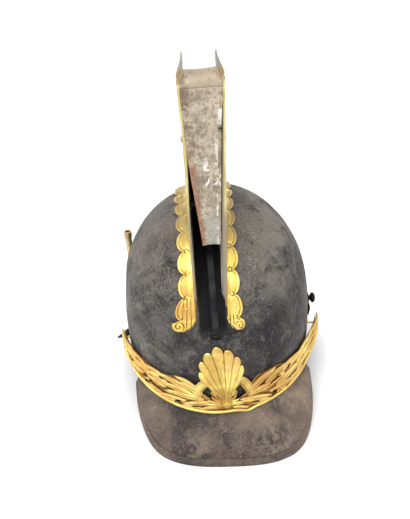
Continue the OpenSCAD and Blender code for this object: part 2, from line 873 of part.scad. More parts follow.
function band_ring(step) =
    let(
        angle = mix(-180 + band_end_angle, -band_end_angle, step / band_steps),
        share = leaf_share(step),
        middle = abs(2 * step / band_steps - 1),
        height = band_top(middle, share),
        swell = 0.9 * sin(180 * share),
        bead = band_stand + band_wall,
        base = band_base(middle),
        spread = band_spread(angle),
        section = [
            [-band_foot, band_stand], [brim_upright - band_lift + 1, band_stand], [height - 0.2, seat_gap],
            [height, seat_gap + band_wall], [height * 0.72, seat_gap + 2.1 + swell],
            [height * 0.45, band_stand + band_wall + swell], [band_foot + band_bead, bead],
            [band_foot + band_bead * 0.4, bead + band_bead * 1.6], [-band_foot * 0.6, bead + band_bead * 1.6],
            [-band_foot, bead]
        ]
    )
    [for (q = section) off_skull(skull_at(angle, base + q[0]), spread + q[1])];

module wreath_band() {
    color(brass)
        difference() {
            sweep([for (step = [0:band_steps]) band_ring(step)]);
            for (p = band_rivet_points())
                on_skull(p) cylinder(r = rivet_radius + shank_gap, h = 10 * skull_wall, center = true);
        }
}

// Rivets that hold the band, with washers inside the skull
band_rivet_angles = [-172, -152, -120, -60, -28, -8];
band_rivet_rise = 5.2;
band_head_rise = 1.1;
facet_slack = 0.45;
rivet_tail = 0.4;
band_head = 2;
washer_radius = 3;

function from_middle(angle) = abs(angle + 90) / (90 - band_end_angle);
function band_spread(angle) =
    (angle < -90 ? band_spread_left : band_spread_right) * smooth(3 * from_middle(angle) - 2);
function band_base(middle) = rim_level + band_lift + band_end_rise * pow(middle, 2);
function band_rivet_points() = concat(
    [
        for (angle = band_rivet_angles)
            skull_at(angle, band_base(from_middle(angle)) + band_rivet_rise)
    ],
    [rosette_point()]
);

module band_rivets() {
    color(brass)
        for (i = [0:len(band_rivet_angles) - 1])
            on_skull(band_rivet_points()[i])
                through_screw(
                    rivet_radius, band_head,
                    band_spread(band_rivet_angles[i]) + band_stand + band_wall + band_head_rise,
                    skull_wall + facet_slack + seat_gap + washer_wall + rivet_tail
                );
}

module band_rivet_washers() {
    color(brass)
        for (p = band_rivet_points())
            on_skull(p)
                translate([0, 0, -skull_wall - facet_slack - seat_gap - washer_wall])
                    difference() {
                        cylinder(r = washer_radius, h = washer_wall);
                        cylinder(r = rivet_radius + shank_gap, h = 5 * washer_wall, center = true);
                    }
}

// Palmette that rises from the middle of the band
palmette_steps = 6;
palmette_rows = 4;
palmette_spread = 51;
palmette_edge_share = 0.5;
palmette_lean = -7;
palmette_neck = 3;
palmette_level = rim_level + palmette_lift;
palmette_clear = band_height + leaf_tip + 1;
palmette_bend = 10;
palmette_wall = 0.8;
palmette_dome = 1.5;
palmette_stand = 1.4;

function palmette_stand_point(x, level, rise) =
    let(
        lift = smooth((level - rim_level - band_lift - palmette_clear) / palmette_bend),
        stand = mix(band_stand + band_wall + palmette_stand, seat_gap, lift)
    )
    off_skull(skull_front_at(x, level), stand + rise);

function palmette_point(radius, angle, rise) =
    palmette_stand_point(
        palmette_shift + radius * sin(angle + palmette_lean),
        palmette_level + radius * cos(angle + palmette_lean),
        rise
    );

function palmette_ring(step) =
    let(
        share = step / palmette_steps,
        lobe = share - floor(min(share, palmette_lobes - 0.001)),
        angle = mix(-palmette_spread, palmette_spread, share / palmette_lobes),
        round = lobe_round(lobe),
        reach = palmette_height * mix(1, palmette_edge_share, pow(abs(angle) / palmette_spread, 1.3)),
        outer = reach * mix(0.88, 1, round),
        over = [
            for (j = [0:palmette_rows])
                let(t = j / palmette_rows)
                    palmette_point(
                        mix(palmette_neck, outer, t), angle,
                        palmette_wall + (j == palmette_rows ? 0 : palmette_dome * sin(90 * t) * round)
                    )
        ],
        under = [
            for (j = [palmette_rows:-1:0]) palmette_point(mix(palmette_neck, outer, j / palmette_rows), angle, 0)
        ]
    )
    concat(over, under);

// Stem of the palmette, in front of the band, where the rosette's rivet holds it
stem_steps = 5;
stem_foot_rise = 8;
rosette_rise = 4.5;
stem_foot_level = rim_level + band_lift + stem_foot_rise;
stem_half_width = 4.5;
rosette_level = stem_foot_level + rosette_rise;
rosette_radius = 4.2;
rosette_seat = 0.7;

function stem_ring(i) =
    let(
        level = mix(stem_foot_level, palmette_level + 3 * palmette_neck, i / stem_steps),
        half = stem_half_width * mix(1, 0.7, i / stem_steps)
    )
    [
        for (q = [
            [-half, palmette_wall], [0, palmette_wall + 0.4], [half, palmette_wall], [half, 0], [0, 0], [-half, 0]
        ])
            palmette_stand_point(q[0] + palmette_shift * i / stem_steps, level, q[1])
    ];

module palmette() {
    color(brass)
        difference() {
            union() {
                sweep([for (step = [0:palmette_lobes * palmette_steps]) palmette_ring(step)]);
                sweep([for (i = [0:stem_steps]) stem_ring(i)]);
            }
            on_skull(rosette_point()) cylinder(r = rivet_radius + shank_gap, h = 10 * skull_wall, center = true);
        }
}

// Domed rosette whose rivet holds the palmette and the band in the middle
function rosette_point() = skull_front_at(0, rosette_level);

module rosette_rivet() {
    color(brass)
        on_skull(rosette_point())
            through_screw(
                rivet_radius, rosette_radius,
                band_stand + band_wall + palmette_stand + palmette_wall + rosette_seat,
                skull_wall + facet_slack + seat_gap + washer_wall + rivet_tail
            );
}

// Plume socket on the left side, with its bracket, screws and nuts
bracket_wall = 1;
bracket_height = 26;
collar_height = 7;
socket_outer = socket_bore + socket_wall;
socket_foot = skull_at(180 - socket_angle, socket_level + bracket_height / 2);
socket_axis = off_skull(socket_foot, 2 * seat_gap + bracket_wall + socket_outer + 1);
socket_floor = 4;

module plume_socket() {
    color(brass)
        translate([socket_axis.x, socket_axis.y, socket_level])
            difference() {
                union() {
                    cylinder(r1 = socket_outer * 0.6, r2 = socket_outer, h = socket_floor);
                    translate([0, 0, socket_floor]) cylinder(r = socket_outer, h = socket_length - socket_floor);
                    translate([0, 0, socket_length - collar_height])
                        cylinder(r = socket_outer + 0.7, h = collar_height);
                }
                translate([0, 0, socket_floor]) cylinder(r = socket_bore, h = socket_length);
            }
}

function socket_screw_points() = [
    for (rise = [-9, 9])
        skull_at(180 - socket_angle - 5.6, socket_level + bracket_height / 2 + rise)
];

module plume_bracket() {
    color(brass)
        difference() {
            sweep([
                for (i = [0:5])
                    let(level = socket_level + bracket_height * i / 5)
                        [
                            for (q = [[-4.5, 1], [0, 1], [4, 1], [8.5, 1], [8.5, 0], [4, 0], [0, 0], [-4.5, 0]])
                                off_skull(
                                    skull_at(180 - socket_angle - q[0], level),
                                    seat_gap + q[1] * bracket_wall
                                )
                        ]
            ]);
            for (p = socket_screw_points())
                on_skull(p) cylinder(r = rivet_radius + shank_gap, h = 4 * skull_wall, center = true);
        }
}

module plume_screws() {
    color(brass)
        for (p = socket_screw_points())
            on_skull(p)
                through_screw(
                    rivet_radius, 2.2, 2 * seat_gap + bracket_wall,
                    skull_wall + inside_slack + nut_height + 0.6
                );
}

module plume_nuts() {
    color(iron)
        for (p = socket_screw_points())
            on_skull(p) hex_nut(rivet_radius + shank_gap);
}

// Right chin strap stud with its washer, nut and the torn leather tab beside it
stud_shank = 2;
stud_neck = 1.4;
stud_flat = 3;
stud_tail = -skull_wall - inside_slack - nut_height - 0.6;
washer_wall = 0.8;
stud_seat = washer_wall + 2 * seat_gap;
function stud_point() = skull_at(-4, stud_level);

module chin_stud_right() {
    color(iron)
        on_skull(stud_point())
            rotate_extrude()
                polygon(concat(
                    [[0, stud_tail], [stud_shank, stud_tail], [stud_shank, stud_seat]],
                    [[stud_shank + 1, stud_seat], [stud_shank + 0.4, stud_seat + stud_neck]],
                    [
                        for (turn = [-60:20:80])
                            [stud_radius * cos(turn), stud_seat + stud_neck + stud_flat * (0.9 + sin(turn))]
                    ],
                    [[0, stud_seat + stud_neck + 1.9 * stud_flat]]
                ));
}

module chin_stud_washer() {
    color(iron)
        on_skull(stud_point())
            translate([0, 0, seat_gap])
                difference() {
                    cylinder(r = stud_radius, h = washer_wall);
                    cylinder(r = stud_shank + shank_gap, h = 5 * washer_wall, center = true);
                }
}

module chin_stud_nut() {
    color(iron)
        on_skull(stud_point())
            translate([0, 0, -skull_wall - inside_slack - nut_height])
                difference() {
                    cylinder(r = nut_radius + 1, h = nut_height, $fn = 6);
                    cylinder(r = stud_shank + shank_gap, h = 3 * nut_height, center = true);
                }
}

tab_levels = 5;
module strap_tab_right() {
    color(iron)
        sweep([
            for (i = [0:tab_levels])
                let(
                    level = mix(rim_level + band_end_height + 10, stud_level - stud_radius - 1.5, i / tab_levels),
                    stand = seat_gap + 2.2 * sin(180 * i / tab_levels)
                )
                [
                    for (q = [[-5, 1.6], [3, 1.6], [3, 0], [-5, 0]])
                        off_skull(skull_at(q[0] + i * 0.6, level), stand + q[1])
                ]
        ]);
}

// Left chin strap loop, a bent wire that swings in a staple
staple_leg = 1;
staple_bore = loop_wire + 0.25;
staple_wall = 1;
staple_length = 5.6;
staple_angle = 176;
staple_stand = 5.5;
staple_tail = 1.4;
loop_droop = 25;
loop_corner = 1.3;

function staple_point() = skull_at(staple_angle, loop_level);
function staple_leg_points() = [for (shift = [-1.4, 1.4]) skull_at(staple_angle + shift, loop_level)];
loop_pivot = off_skull(staple_point(), staple_stand);

module loop_staple_left() {
    color(iron) {
        translate(loop_pivot)
            rotate([90, 0, 0])
                difference() {
                    cylinder(r = staple_bore + staple_wall, h = staple_length, center = true);
                    cylinder(r = staple_bore, h = staple_length + 1, center = true);
                }
        for (p = staple_leg_points())
            on_skull(p)
                translate([0, 0, -skull_wall - staple_tail])
                    cylinder(r = staple_leg, h = skull_wall + staple_tail + staple_stand - staple_bore - 0.3);
    }
}

module wire(from, to) {
    along(from, to - from) cylinder(r = loop_wire, h = norm(to - from), $fn = 20);
    translate(from) sphere(r = loop_corner, $fn = 20);
}

module strap_loop_left() {
    rear = [0, loop_bar / 2, 0];
    front = [0, -loop_bar / 2, 0];
    nose = [-loop_reach, 0, 0];
    color(iron)
        translate(loop_pivot)
            rotate([0, -loop_droop, 0]) {
                wire(rear, front);
                wire(front, nose);
                wire(nose, rear);
            }
}

// Lining: a leather sweatband, eight tongues and the cord that draws them together

module sweatband() {
    outer_gap = skull_wall + facet_slack + 2 * seat_gap + washer_wall + rivet_tail + 0.1;
    color([0.35, 0.24, 0.16])
        sweep(
            [
                for (c = [0:skull_columns - 1])
                    let(angle = 360 * c / skull_columns)
                        [
                            for (q = [[1, 0], [sweatband_height, 0], [sweatband_height, 1], [1, 1]])
                                off_skull(
                                    skull_at(angle, rim_level + q[0]),
                                    -outer_gap - q[1] * sweatband_wall
                                )
                        ]
            ],
            loop = true
        );
}

tongue_count = 8;
tongue_cells = 4;
tongue_half_turn = 18;
tongue_rows = 6;
tongue_top_level = widest_level + crown_rise * 0.72;
tongue_stand = skull_wall + facet_slack + washer_wall + rivet_tail + 3 * seat_gap + 0.1 + sweatband_wall;

function tongue_level(i) = mix(rim_level + sweatband_height * 0.6, tongue_top_level, i / tongue_rows);
function tongue_ring(tongue, i) =
    let(
        level = tongue_level(i),
        t = i / tongue_rows,
        half = tongue_half_turn * mix(1, 0.72, t),
        middle = (tongue + 0.4) * 360 / tongue_count,
        stand = tongue_stand + 6 * smooth(t)
    )
    concat(
        [
            for (j = [0:tongue_cells])
                off_skull(skull_at(middle + half * (2 * j / tongue_cells - 1), level), -stand)
        ],
        [
            for (j = [tongue_cells:-1:0])
                off_skull(skull_at(middle + half * (2 * j / tongue_cells - 1), level), -stand - tongue_wall)
        ]
    );

module lining_tongues() {
    color([0.40, 0.30, 0.20])
        for (tongue = [0:tongue_count - 1])
            sweep([for (i = [0:tongue_rows]) tongue_ring(tongue, i)]);
}

cord_steps = 32;
module draw_cord_ring() {
    stand = tongue_stand + 6 + tongue_wall + seat_gap + draw_cord;
    color([0.55, 0.50, 0.42])
        sweep(
            [
                for (c = [0:cord_steps - 1])
                    let(
                        centre = off_skull(skull_at(360 * c / cord_steps, tongue_top_level - 2.5), -stand),
                        out = unit([centre.x, centre.y, 0])
                    )
                    [for (k = [0:5]) centre + draw_cord * (cos(60 * k) * out + sin(60 * k) * [0, 0, 1])]
            ],
            loop = true
        );
}

skull();
visor();
visor_binding();
neck_guard();
neck_guard_binding();
comb_side_left();
comb_side_right();
comb_flange_left();
comb_flange_right();
comb_flange_screws();
comb_flange_nuts();
comb_strap();
comb_cross_pins();
comb_spacers();
crest_trough();
wreath_band();
palmette();
rosette_rivet();
band_rivets();
band_rivet_washers();
plume_socket();
plume_bracket();
plume_screws();
plume_nuts();
chin_stud_right();
chin_stud_washer();
chin_stud_nut();
strap_tab_right();
strap_loop_left();
loop_staple_left();
sweatband();
lining_tongues();
draw_cord_ring();
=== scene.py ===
import random
from functools import partial
from math import asin, atan2, copysign, cos, exp, hypot, pi, radians, sin, sqrt, tan

import bmesh
import bpy
from mathutils import Matrix, Vector, noise


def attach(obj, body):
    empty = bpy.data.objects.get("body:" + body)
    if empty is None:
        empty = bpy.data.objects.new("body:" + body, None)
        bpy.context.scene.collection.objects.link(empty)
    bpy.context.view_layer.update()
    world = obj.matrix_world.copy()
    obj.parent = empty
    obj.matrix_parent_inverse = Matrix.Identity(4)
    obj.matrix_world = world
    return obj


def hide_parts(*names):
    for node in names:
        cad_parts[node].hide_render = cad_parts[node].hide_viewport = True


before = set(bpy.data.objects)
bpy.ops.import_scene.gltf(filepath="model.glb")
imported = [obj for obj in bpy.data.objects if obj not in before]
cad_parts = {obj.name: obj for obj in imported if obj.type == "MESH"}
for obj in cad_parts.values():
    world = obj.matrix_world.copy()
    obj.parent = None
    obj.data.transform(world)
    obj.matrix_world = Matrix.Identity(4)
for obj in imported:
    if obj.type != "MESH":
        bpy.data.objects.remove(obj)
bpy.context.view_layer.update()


# Camera of the photograph: above the front of the helmet, a little to its left and slightly rolled.
# It is placed by the angles that bring the skull, the comb and the visor onto their outlines.
elevation, azimuth, roll = radians(31.68), radians(-1.0), radians(-4.2)
aim, distance = Vector((-0.0089, -0.01, 0.1441)), 0.62856
focal_pixels, image_rows = 612.58, 519


def placed(name, data):
    """An object with this data, in the scene."""
    thing = bpy.data.objects.new(name, data)
    bpy.context.scene.collection.objects.link(thing)
    return thing


toward = Vector((sin(azimuth) * cos(elevation), -cos(azimuth) * cos(elevation), sin(elevation)))
across = -toward.cross(Vector((0, 0, 1))).normalized()
upward = toward.cross(across)
lens = bpy.data.cameras.new("photo_camera")
lens.sensor_fit, lens.sensor_height = "VERTICAL", 24.0
lens.lens = focal_pixels / image_rows * lens.sensor_height
lens.clip_start, lens.clip_end = 0.01, 50
photo_camera = placed("photo_camera", lens)
placing = Matrix((cos(roll) * across + sin(roll) * upward, cos(roll) * upward - sin(roll) * across, toward))
placing = placing.transposed().to_4x4()
placing.translation = aim + distance * toward
photo_camera.matrix_world = placing
bpy.context.scene.camera = photo_camera


# Skull: a dome of pressed leather, blackened outside and bare inside, dusty and finely cracked.
# It was pressed over a block and cut level at the rim, and the left side has sunk in a little.
SKULL_A, SKULL_B, WIDEST, RIM, CROWN = 98.5, 117.0, 83.0, 32.0, 128.0
FULLNESS, TUCK, SKULL_WALL = 2.25, 0.02, 3.0


def level_share(rise):
    if rise >= 0:
        return max(0.0, 1 - (rise / CROWN) ** FULLNESS) ** (1 / FULLNESS)
    return 1 - TUCK * (rise / (WIDEST - RIM)) ** 2


def skull_normal(p):
    rise = p.z - WIDEST
    side = max(hypot(p.x / SKULL_A, p.y / SKULL_B), 0.0001) ** (FULLNESS - 2)
    up = 2 * TUCK * rise / (WIDEST - RIM) ** 2 * side
    if rise >= 0:
        up = (rise / CROWN) ** (FULLNESS - 1) / CROWN
    return Vector((p.x / SKULL_A ** 2 * side, p.y / SKULL_B ** 2 * side, up)).normalized()


def off_skull(p, distance):
    return p + distance * skull_normal(p)


def skull_at(angle, level):
    share = level_share(level - WIDEST)
    angle = radians(angle)
    return Vector((SKULL_A * share * cos(angle), SKULL_B * share * sin(angle), level))


def mix(a, b, t):
    return a * (1 - t) + b * t


def smooth(t):
    t = min(1.0, max(0.0, t))
    return t * t * (3 - 2 * t)


def hump(x, centre, width):
    return exp(-((x - centre) / width) ** 2)


def arc(x):
    return sqrt(max(0.0, 1 - x * x))


def uneven(*place):
    return noise.noise(Vector(place))


def leather_sag(p):
    return 0.8 * noise.noise(p / 55) + 0.25 * noise.noise(p / 17)


def shaped_grid(bm, columns, rows, surface, opening=None):
    """A flat grid whose two directions, each from 0 to 1, are laid over a surface given in millimetres."""
    layers = bm.verts.layers.float
    across, beside = (layers.get(label) or layers.new(label) for label in ("across", "beside"))
    gone = []
    for v in bmesh.ops.create_grid(bm, x_segments=columns, y_segments=rows, size=1)["verts"]:
        pair = v[across], v[beside] = (v.co.x + 1) / 2, (v.co.y + 1) / 2
        v.co = surface(*pair) / 1000
        if opening and opening(*pair):
            gone.append(v)
    if gone:
        bmesh.ops.delete(bm, geom=gone, context="VERTS")


def laid(columns, rows, *surfaces):
    """A new mesh with one grid laid over each of the surfaces."""
    bm = bmesh.new()
    for surface in surfaces:
        shaped_grid(bm, columns, rows, surface)
    return bm


def mark_hollows(bm):
    """Notes at each vertex how deep it lies among its neighbours, for brown grime in hollows and rubbed
    ridges.
    """
    bm.normal_update()
    hollow = bm.verts.layers.float.new("hollow")
    depth = {}
    for v in bm.verts:
        around = [e.other_vert(v).co for e in v.link_edges]
        reach = sum((p - v.co).length for p in around) or 1
        at_rim = any(e.is_boundary for e in v.link_edges)
        depth[v] = 0.0 if at_rim else 4 * sum((p - v.co).dot(v.normal) for p in around) / reach
    for v in bm.verts:
        beside = [depth[e.other_vert(v)] for e in v.link_edges]
        v[hollow] = (depth[v] + sum(beside) / max(1, len(beside))) / 2


INSIDE, MERGE = Vector((0, 0, 0.06)), 0.00001


def piece(name, bm, finish, replaces=(), wall=0.0, offset=-1.0, merge=True, flip=None, inner=None):
    """Closes a shape into an object that rides on the helmet, with its finish and its wall in millimetres.

    Its outer side looks away from the point given as flip."""
    if merge:
        bmesh.ops.remove_doubles(bm, verts=bm.verts, dist=MERGE)
    bmesh.ops.recalc_face_normals(bm, faces=bm.faces)
    if flip is not None and sum(f.normal.dot(f.calc_center_median() - flip) for f in bm.faces) < 0:
        bmesh.ops.reverse_faces(bm, faces=bm.faces)
    mark_hollows(bm)
    for f in bm.faces:
        f.smooth = True
    mesh = bpy.data.meshes.new(name)
    bm.to_mesh(mesh)
    bm.free()
    thing = placed(name, mesh)
    mesh.materials.append(finish)
    if wall:
        shell = thing.modifiers.new("wall", "SOLIDIFY")
        shell.thickness, shell.offset = wall / 1000, offset
        if inner:
            mesh.materials.append(inner)
            shell.material_offset = 1
    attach(thing, "helmet")
    if replaces:
        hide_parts(*replaces)
    return thing


def srgb(*tone):
    shares = (v / 255 for v in tone)
    return tuple(c / 12.92 if c <= 0.04045 else ((c + 0.055) / 1.055) ** 2.4 for c in shares) + (1.0,)


class Reading:
    """A value that varies over a surface, written in sums and products."""

    def __init__(self, board, socket):
        self.board, self.socket = board, socket

    def __add__(self, other):
        return self.board.math("ADD", self, other)

    def __sub__(self, other):
        return self.board.math("SUBTRACT", self, other)

    def __rsub__(self, other):
        return self.board.math("SUBTRACT", other, self)

    def __mul__(self, other):
        return self.board.math("MULTIPLY", self, other)

    __radd__, __rmul__ = __add__, __mul__

    def clip(self):
        return self.board.node("ShaderNodeClamp", {}, {"Value": self})

    def band(self, low, high):
        """Rises smoothly from 0 at low to 1 at high."""
        return self.board.node("ShaderNodeMapRange", {"interpolation_type": "SMOOTHSTEP"},
                               {"Value": self, "From Min": low, "From Max": high})

    def window(self, rise, top, fall, end):
        return self.band(rise, top) * (1 - self.band(fall, end))


class Board:
    """A tree of nodes, to which each node is added with its settings and inputs."""

    def __init__(self, tree):
        self.tree = tree

    def put(self, socket, value):
        if isinstance(value, Reading):
            self.tree.links.new(value.socket, socket)
        else:
            socket.default_value = value

    def node(self, kind, settings, inputs, output=0):
        made = self.tree.nodes.new(kind)
        for label, value in settings.items():
            setattr(made, label, value)
        for label, value in inputs.items():
            self.put(made.inputs[label], value)
        return Reading(self, made.outputs[output])

    def math(self, operation, *pair):
        return self.node("ShaderNodeMath", {"operation": operation}, dict(enumerate(pair)))


class Finish(Board):
    """The look of one kind of surface, built from patterns on the object's own coordinates."""

    def __init__(self, name, **plain):
        self.material = bpy.data.materials.new(name)
        self.material.use_nodes = True
        super().__init__(self.material.node_tree)
        self.shader = self.tree.nodes["Principled BSDF"]
        self.place = self.node("ShaderNodeTexCoord", {}, {}, "Object")
        self.wear(**plain)

    def noise(self, scale, detail=4.0, roughness=0.55, distortion=0.0):
        return self.node("ShaderNodeTexNoise", {}, {"Vector": self.place, "Scale": scale, "Detail": detail,
                                                    "Roughness": roughness, "Distortion": distortion})

    def cells(self, scale, feature="F1"):
        return self.node("ShaderNodeTexVoronoi", {"feature": feature}, {"Vector": self.place, "Scale": scale})

    def dots(self, scale, small, large):
        return 1 - self.cells(scale).band(small, large)

    def cracks(self, scale, wide):
        return 1 - self.cells(scale, "DISTANCE_TO_EDGE").band(0.0, wide)

    def axis(self, label):
        return self.node("ShaderNodeSeparateXYZ", {}, {0: self.place}, label)

    def own(self, label):
        return self.node("ShaderNodeAttribute", {"attribute_name": label}, {}, "Fac")

    def base(self, first, second, share):
        """Starts the colour with a mix of two tones, each given as red, green and blue up to 255."""
        self.colour = srgb(*first)
        self.tint(second, share)

    def tint(self, tone, share):
        """Lays a tone over the colour so far, by a share that is held between 0 and 1."""
        mixed = {0: share.clip(), 6: self.colour, 7: srgb(*tone)}
        self.colour = self.node("ShaderNodeMix", {"data_type": "RGBA"}, mixed, 2)

    def wear(self, **inputs):
        for label, value in inputs.items():
            self.put(self.shader.inputs[label.replace("_", " ")], value)
        return self.material

    def done(self, rough, relief, depth, strength):
        """The material with its colour, its roughness and its relief, whose depth is in metres."""
        bump = self.node("ShaderNodeBump", {}, {"Height": relief, "Distance": depth, "Strength": strength})
        return self.wear(Base_Color=self.colour, Roughness=rough, Normal=bump)


def blackened_leather():
    look = Finish("blackened_leather", Specular_IOR_Level=0.22)
    x, y, z = (look.axis(label) for label in "XYZ")
    broad, cloud, fine = look.noise(9, 5, 0.6), look.noise(34, 6, 0.65, 0.4), look.noise(260, 5, 0.6)
    grit = look.noise(420, 6, 0.8)
    look.base((36, 34, 36), (118, 112, 105), (cloud * 0.45 + grit * 0.55).band(0.4, 0.6))
    look.tint((122, 114, 106), broad.band(0.42, 0.66) * z.band(0.12, 0.21))
    # Painted shade: the lower front middle of the dome is darkened, so that its sides read lighter.
    front = (1 - y.band(-0.07, -0.02)) * (1 - z.band(0.12, 0.165))
    look.tint((26, 25, 32), x.window(-0.075, -0.03, 0.06, 0.096) * front * 0.66)
    # Pale haze patches, a painted sheen along the left side of the dome and lighter patches on its upper
    # right.
    haze = look.noise(75, 6, 0.75, 0.6).band(0.5, 0.64)
    sheen = (1 - x.band(-0.09, -0.066)) * haze
    right = x.band(0.015, 0.055) * z.band(0.14, 0.178) * cloud.band(0.36, 0.56)
    look.tint((150, 142, 131), haze * 0.28 + sheen * 0.5 + right * 0.5)
    crack = look.cracks(420, 0.09)
    look.tint((40, 39, 40), crack * 0.35)
    flecks = look.dots(520, 0.05, 0.16) * look.noise(55, 3, 0.5).band(0.46, 0.58)
    flecks += look.dots(240, 0.05, 0.13) * broad.band(0.45, 0.6) * 0.8
    vein = look.noise(26, 2, 0.5, 6.0)
    scratch = vein.window(0.5, 0.51, 0.512, 0.522) * look.noise(30, 2, 0.5).band(0.5, 0.6)
    dusty = x.window(0.018, 0.026, 0.034, 0.046) * z.band(0.16, 0.178) * (1 - y.band(-0.04, -0.02))
    speckle = look.dots(480, 0.14, 0.3) * dusty * look.noise(90, 4, 0.6).band(0.38, 0.52)
    look.tint((198, 192, 184), flecks * 0.9 + speckle * 0.9 + scratch * 0.25)
    # Painted highlight: a whitish band along the far left side of the dome, low down.
    edge = (1 - x.band(-0.099, -0.086)) * look.noise(30, 4, 0.6).band(0.38, 0.56) * z.band(0.06, 0.085)
    look.tint((196, 188, 176), edge * 0.55)
    # Painted shade: near black on the leather between the comb plates and round the slot, where shade falls,
    # beside a thin dark seam.
    shade_between_plates = x.window(-0.0215, -0.0185, 0.0035, 0.0065) * z.band(0.118, 0.136)
    seam = x.window(-0.0112, -0.0107, -0.0103, -0.0098) * z.band(0.098, 0.112)
    slot_x, slot_z, per_half_width, per_half_height = -0.0055, 0.1241, 192, 280
    off_x, off_z = (x - slot_x) * per_half_width, (z - slot_z) * per_half_height
    slot_shade = (1 - off_x * off_x - off_z * off_z).band(0.0, 0.4)
    look.tint((8, 8, 12), shade_between_plates * 0.95 + seam * 0.7 + slot_shade * 0.95)
    rough = 0.5 + 0.22 * cloud + 0.1 * look.noise(16, 3, 0.5, 0.6).band(0.5, 0.66) + 0.25 * shade_between_plates
    relief = fine * 0.5 + look.noise(90, 4, 0.6) * 0.8 + crack * -0.35
    return look.done(rough, relief, 0.0007, 0.7)


def bare_leather(name, tone, pale):
    look = Finish(name, Specular_IOR_Level=0.3)
    stain = look.noise(22, 5, 0.6, 0.3)
    look.base(tone, pale, stain.band(0.35, 0.68))
    look.tint((58, 42, 32), look.noise(60, 4, 0.6).band(0.56, 0.72) * 0.6)
    relief = look.cells(600) + look.noise(180)
    return look.done(0.62 + 0.2 * stain, relief, 0.0004, 0.6)


skull_leather = blackened_leather()
skull_inside = bare_leather("bare_leather", (96, 66, 44), (140, 104, 74))


def skull_surface(u, v):
    if v < 0.3:
        level = mix(RIM, WIDEST, v / 0.3)
    else:
        level = WIDEST + CROWN * sin(radians(90 * (v - 0.3) / 0.7)) ** (2 / FULLNESS)
    p = skull_at(360 * u, min(level, WIDEST + CROWN))
    sunk = 2.2 * hump(p.z, 118, 26) * hump(p.x, -98, 26) * hump(p.y, -12, 26)
    return off_skull(p, -sunk + leather_sag(p) * smooth((p.z - RIM) / 12) * 0.8 - 0.35)


skull = piece("skull_shell", laid(176, 96, skull_surface), skull_leather, ("skull",),
              wall=SKULL_WALL - 0.4, flip=Vector((0, 0, 0.1)), inner=skull_inside)


# Visor and neck guard: each one sheet of brown-black harness leather, wetted and turned from an upright edge,
# which is sewn to the skull, into the brim. The visor is scuffed and dusty.
BEND_AT, ROUND_FROM, ROUND_TO, SEWN_STAND, EDGE_RISE, SAG, SKEW = 0.14, 0.08, 0.24, 1.55, 1.3, 2.5, 0.0664


def brim_point(end, width, root, reach, corner, u, v):
    """Point of a brim, at a share u of the way round and v from its sewn edge over the bend to its rim."""
    turn = radians(mix(3, 177, u))
    angle = end * mix(root, 180 - root, turn / pi)
    top, bend = (off_skull(skull_at(angle, RIM + rise), SEWN_STAND) for rise in (11, 3))
    start = SKULL_B * (1 - TUCK) * sin(radians(root))
    forward = start + (SKULL_B + reach - start) * sin(turn) ** (2 / corner)
    side = copysign(abs(cos(turn)) ** (2 / corner), cos(turn)) * width / 2
    forward += SKEW * side * sin(turn) if end < 0 else 0
    edge = Vector((side, end * forward, mix(RIM - 4, EDGE_RISE, smooth(sin(turn) / sin(radians(58))))))
    if v < ROUND_FROM:
        return top.lerp(bend, v / BEND_AT)
    t = (v - BEND_AT) / (1 - BEND_AT)
    if v > ROUND_TO:
        return bend.lerp(edge, t) + Vector((0, 0, SAG * sin(pi * t)))
    s, before = (v - ROUND_FROM) / (ROUND_TO - ROUND_FROM), top.lerp(bend, ROUND_FROM / BEND_AT)
    after = bend.lerp(edge, 0.1163) + Vector((0, 0, 0.893))
    return before * (1 - s) ** 2 + bend * 2 * s * (1 - s) + after * s * s


def brown_leather(name, dark, middle, pale, dust=()):
    """Harness leather. A dusty spot has its place across and front to back, its reach and its share."""
    look = Finish(name, Specular_IOR_Level=0.4)
    x, y = look.axis("X"), look.axis("Y")
    cloud, broad, fine = look.noise(30, 6, 0.62, 0.5), look.noise(11, 4, 0.55), look.noise(240, 5, 0.6)
    look.base(dark, middle, (cloud * 0.5 + look.noise(400, 6, 0.8) * 0.5).band(0.42, 0.58))
    sides = 1 - x.band(-0.085, -0.045) + x.band(0.04, 0.08)
    look.tint(pale, broad.band(0.5, 0.72) * 0.6 + sides * 0.3)
    for spot_x, spot_y, reach, much in dust:
        off_x, off_y = (x - spot_x) * (1 / reach), (y - spot_y) * (1 / reach)
        spot = (1.1 - off_x * off_x - off_y * off_y).clip() * look.noise(110, 6, 0.75, 0.5).band(0.42, 0.6)
        look.tint((172, 154, 134), spot * much)
    crack = look.cracks(300, 0.07)
    look.tint((48, 43, 42), crack * 0.3 * look.noise(40).band(0.45, 0.6))
    scuff = look.noise(70, 6, 0.7, 1.2).band(0.56, 0.68) * look.noise(18, 3, 0.5).band(0.5, 0.6)
    specks = look.dots(300, 0.06, 0.17) * look.noise(26, 3, 0.5).band(0.46, 0.58)
    look.tint((186, 172, 150), scuff * 0.5 + specks * 0.8)
    relief = fine * 0.6 + cloud + crack * -0.3
    return look.done(0.46 + 0.3 * cloud, relief, 0.0006, 0.7)


DUST = (-0.034, -0.142, 0.017, 0.34), (0.046, -0.142, 0.026, 0.45), (0.07, -0.1, 0.02, 0.4)
brim_leather = brown_leather("brim_leather", (40, 33, 33), (104, 89, 79), (158, 139, 121), DUST)
binding_leather = brown_leather("binding_leather", (62, 52, 48), (106, 91, 81), (144, 125, 108))
BRIMS = {"visor": (-1, 180, 25, 36, 3.0), "neck_guard": (1, 150, 41, 36, 2.3)}


def brim_sheet(kind, u, v):
    p = brim_point(*BRIMS[kind], u, v)
    return p + Vector((0, 0, 0.5 * noise.noise(p / 28) * smooth((v - 0.25) / 0.3) * smooth((1 - v) / 0.12)))


for kind in BRIMS:
    sheet = laid(150, 44, partial(brim_sheet, kind))
    piece(kind + "_sheet", sheet, brim_leather, (kind,), wall=2.4, offset=0.0,
          flip=Vector((0, 0, 0)), inner=skull_inside)


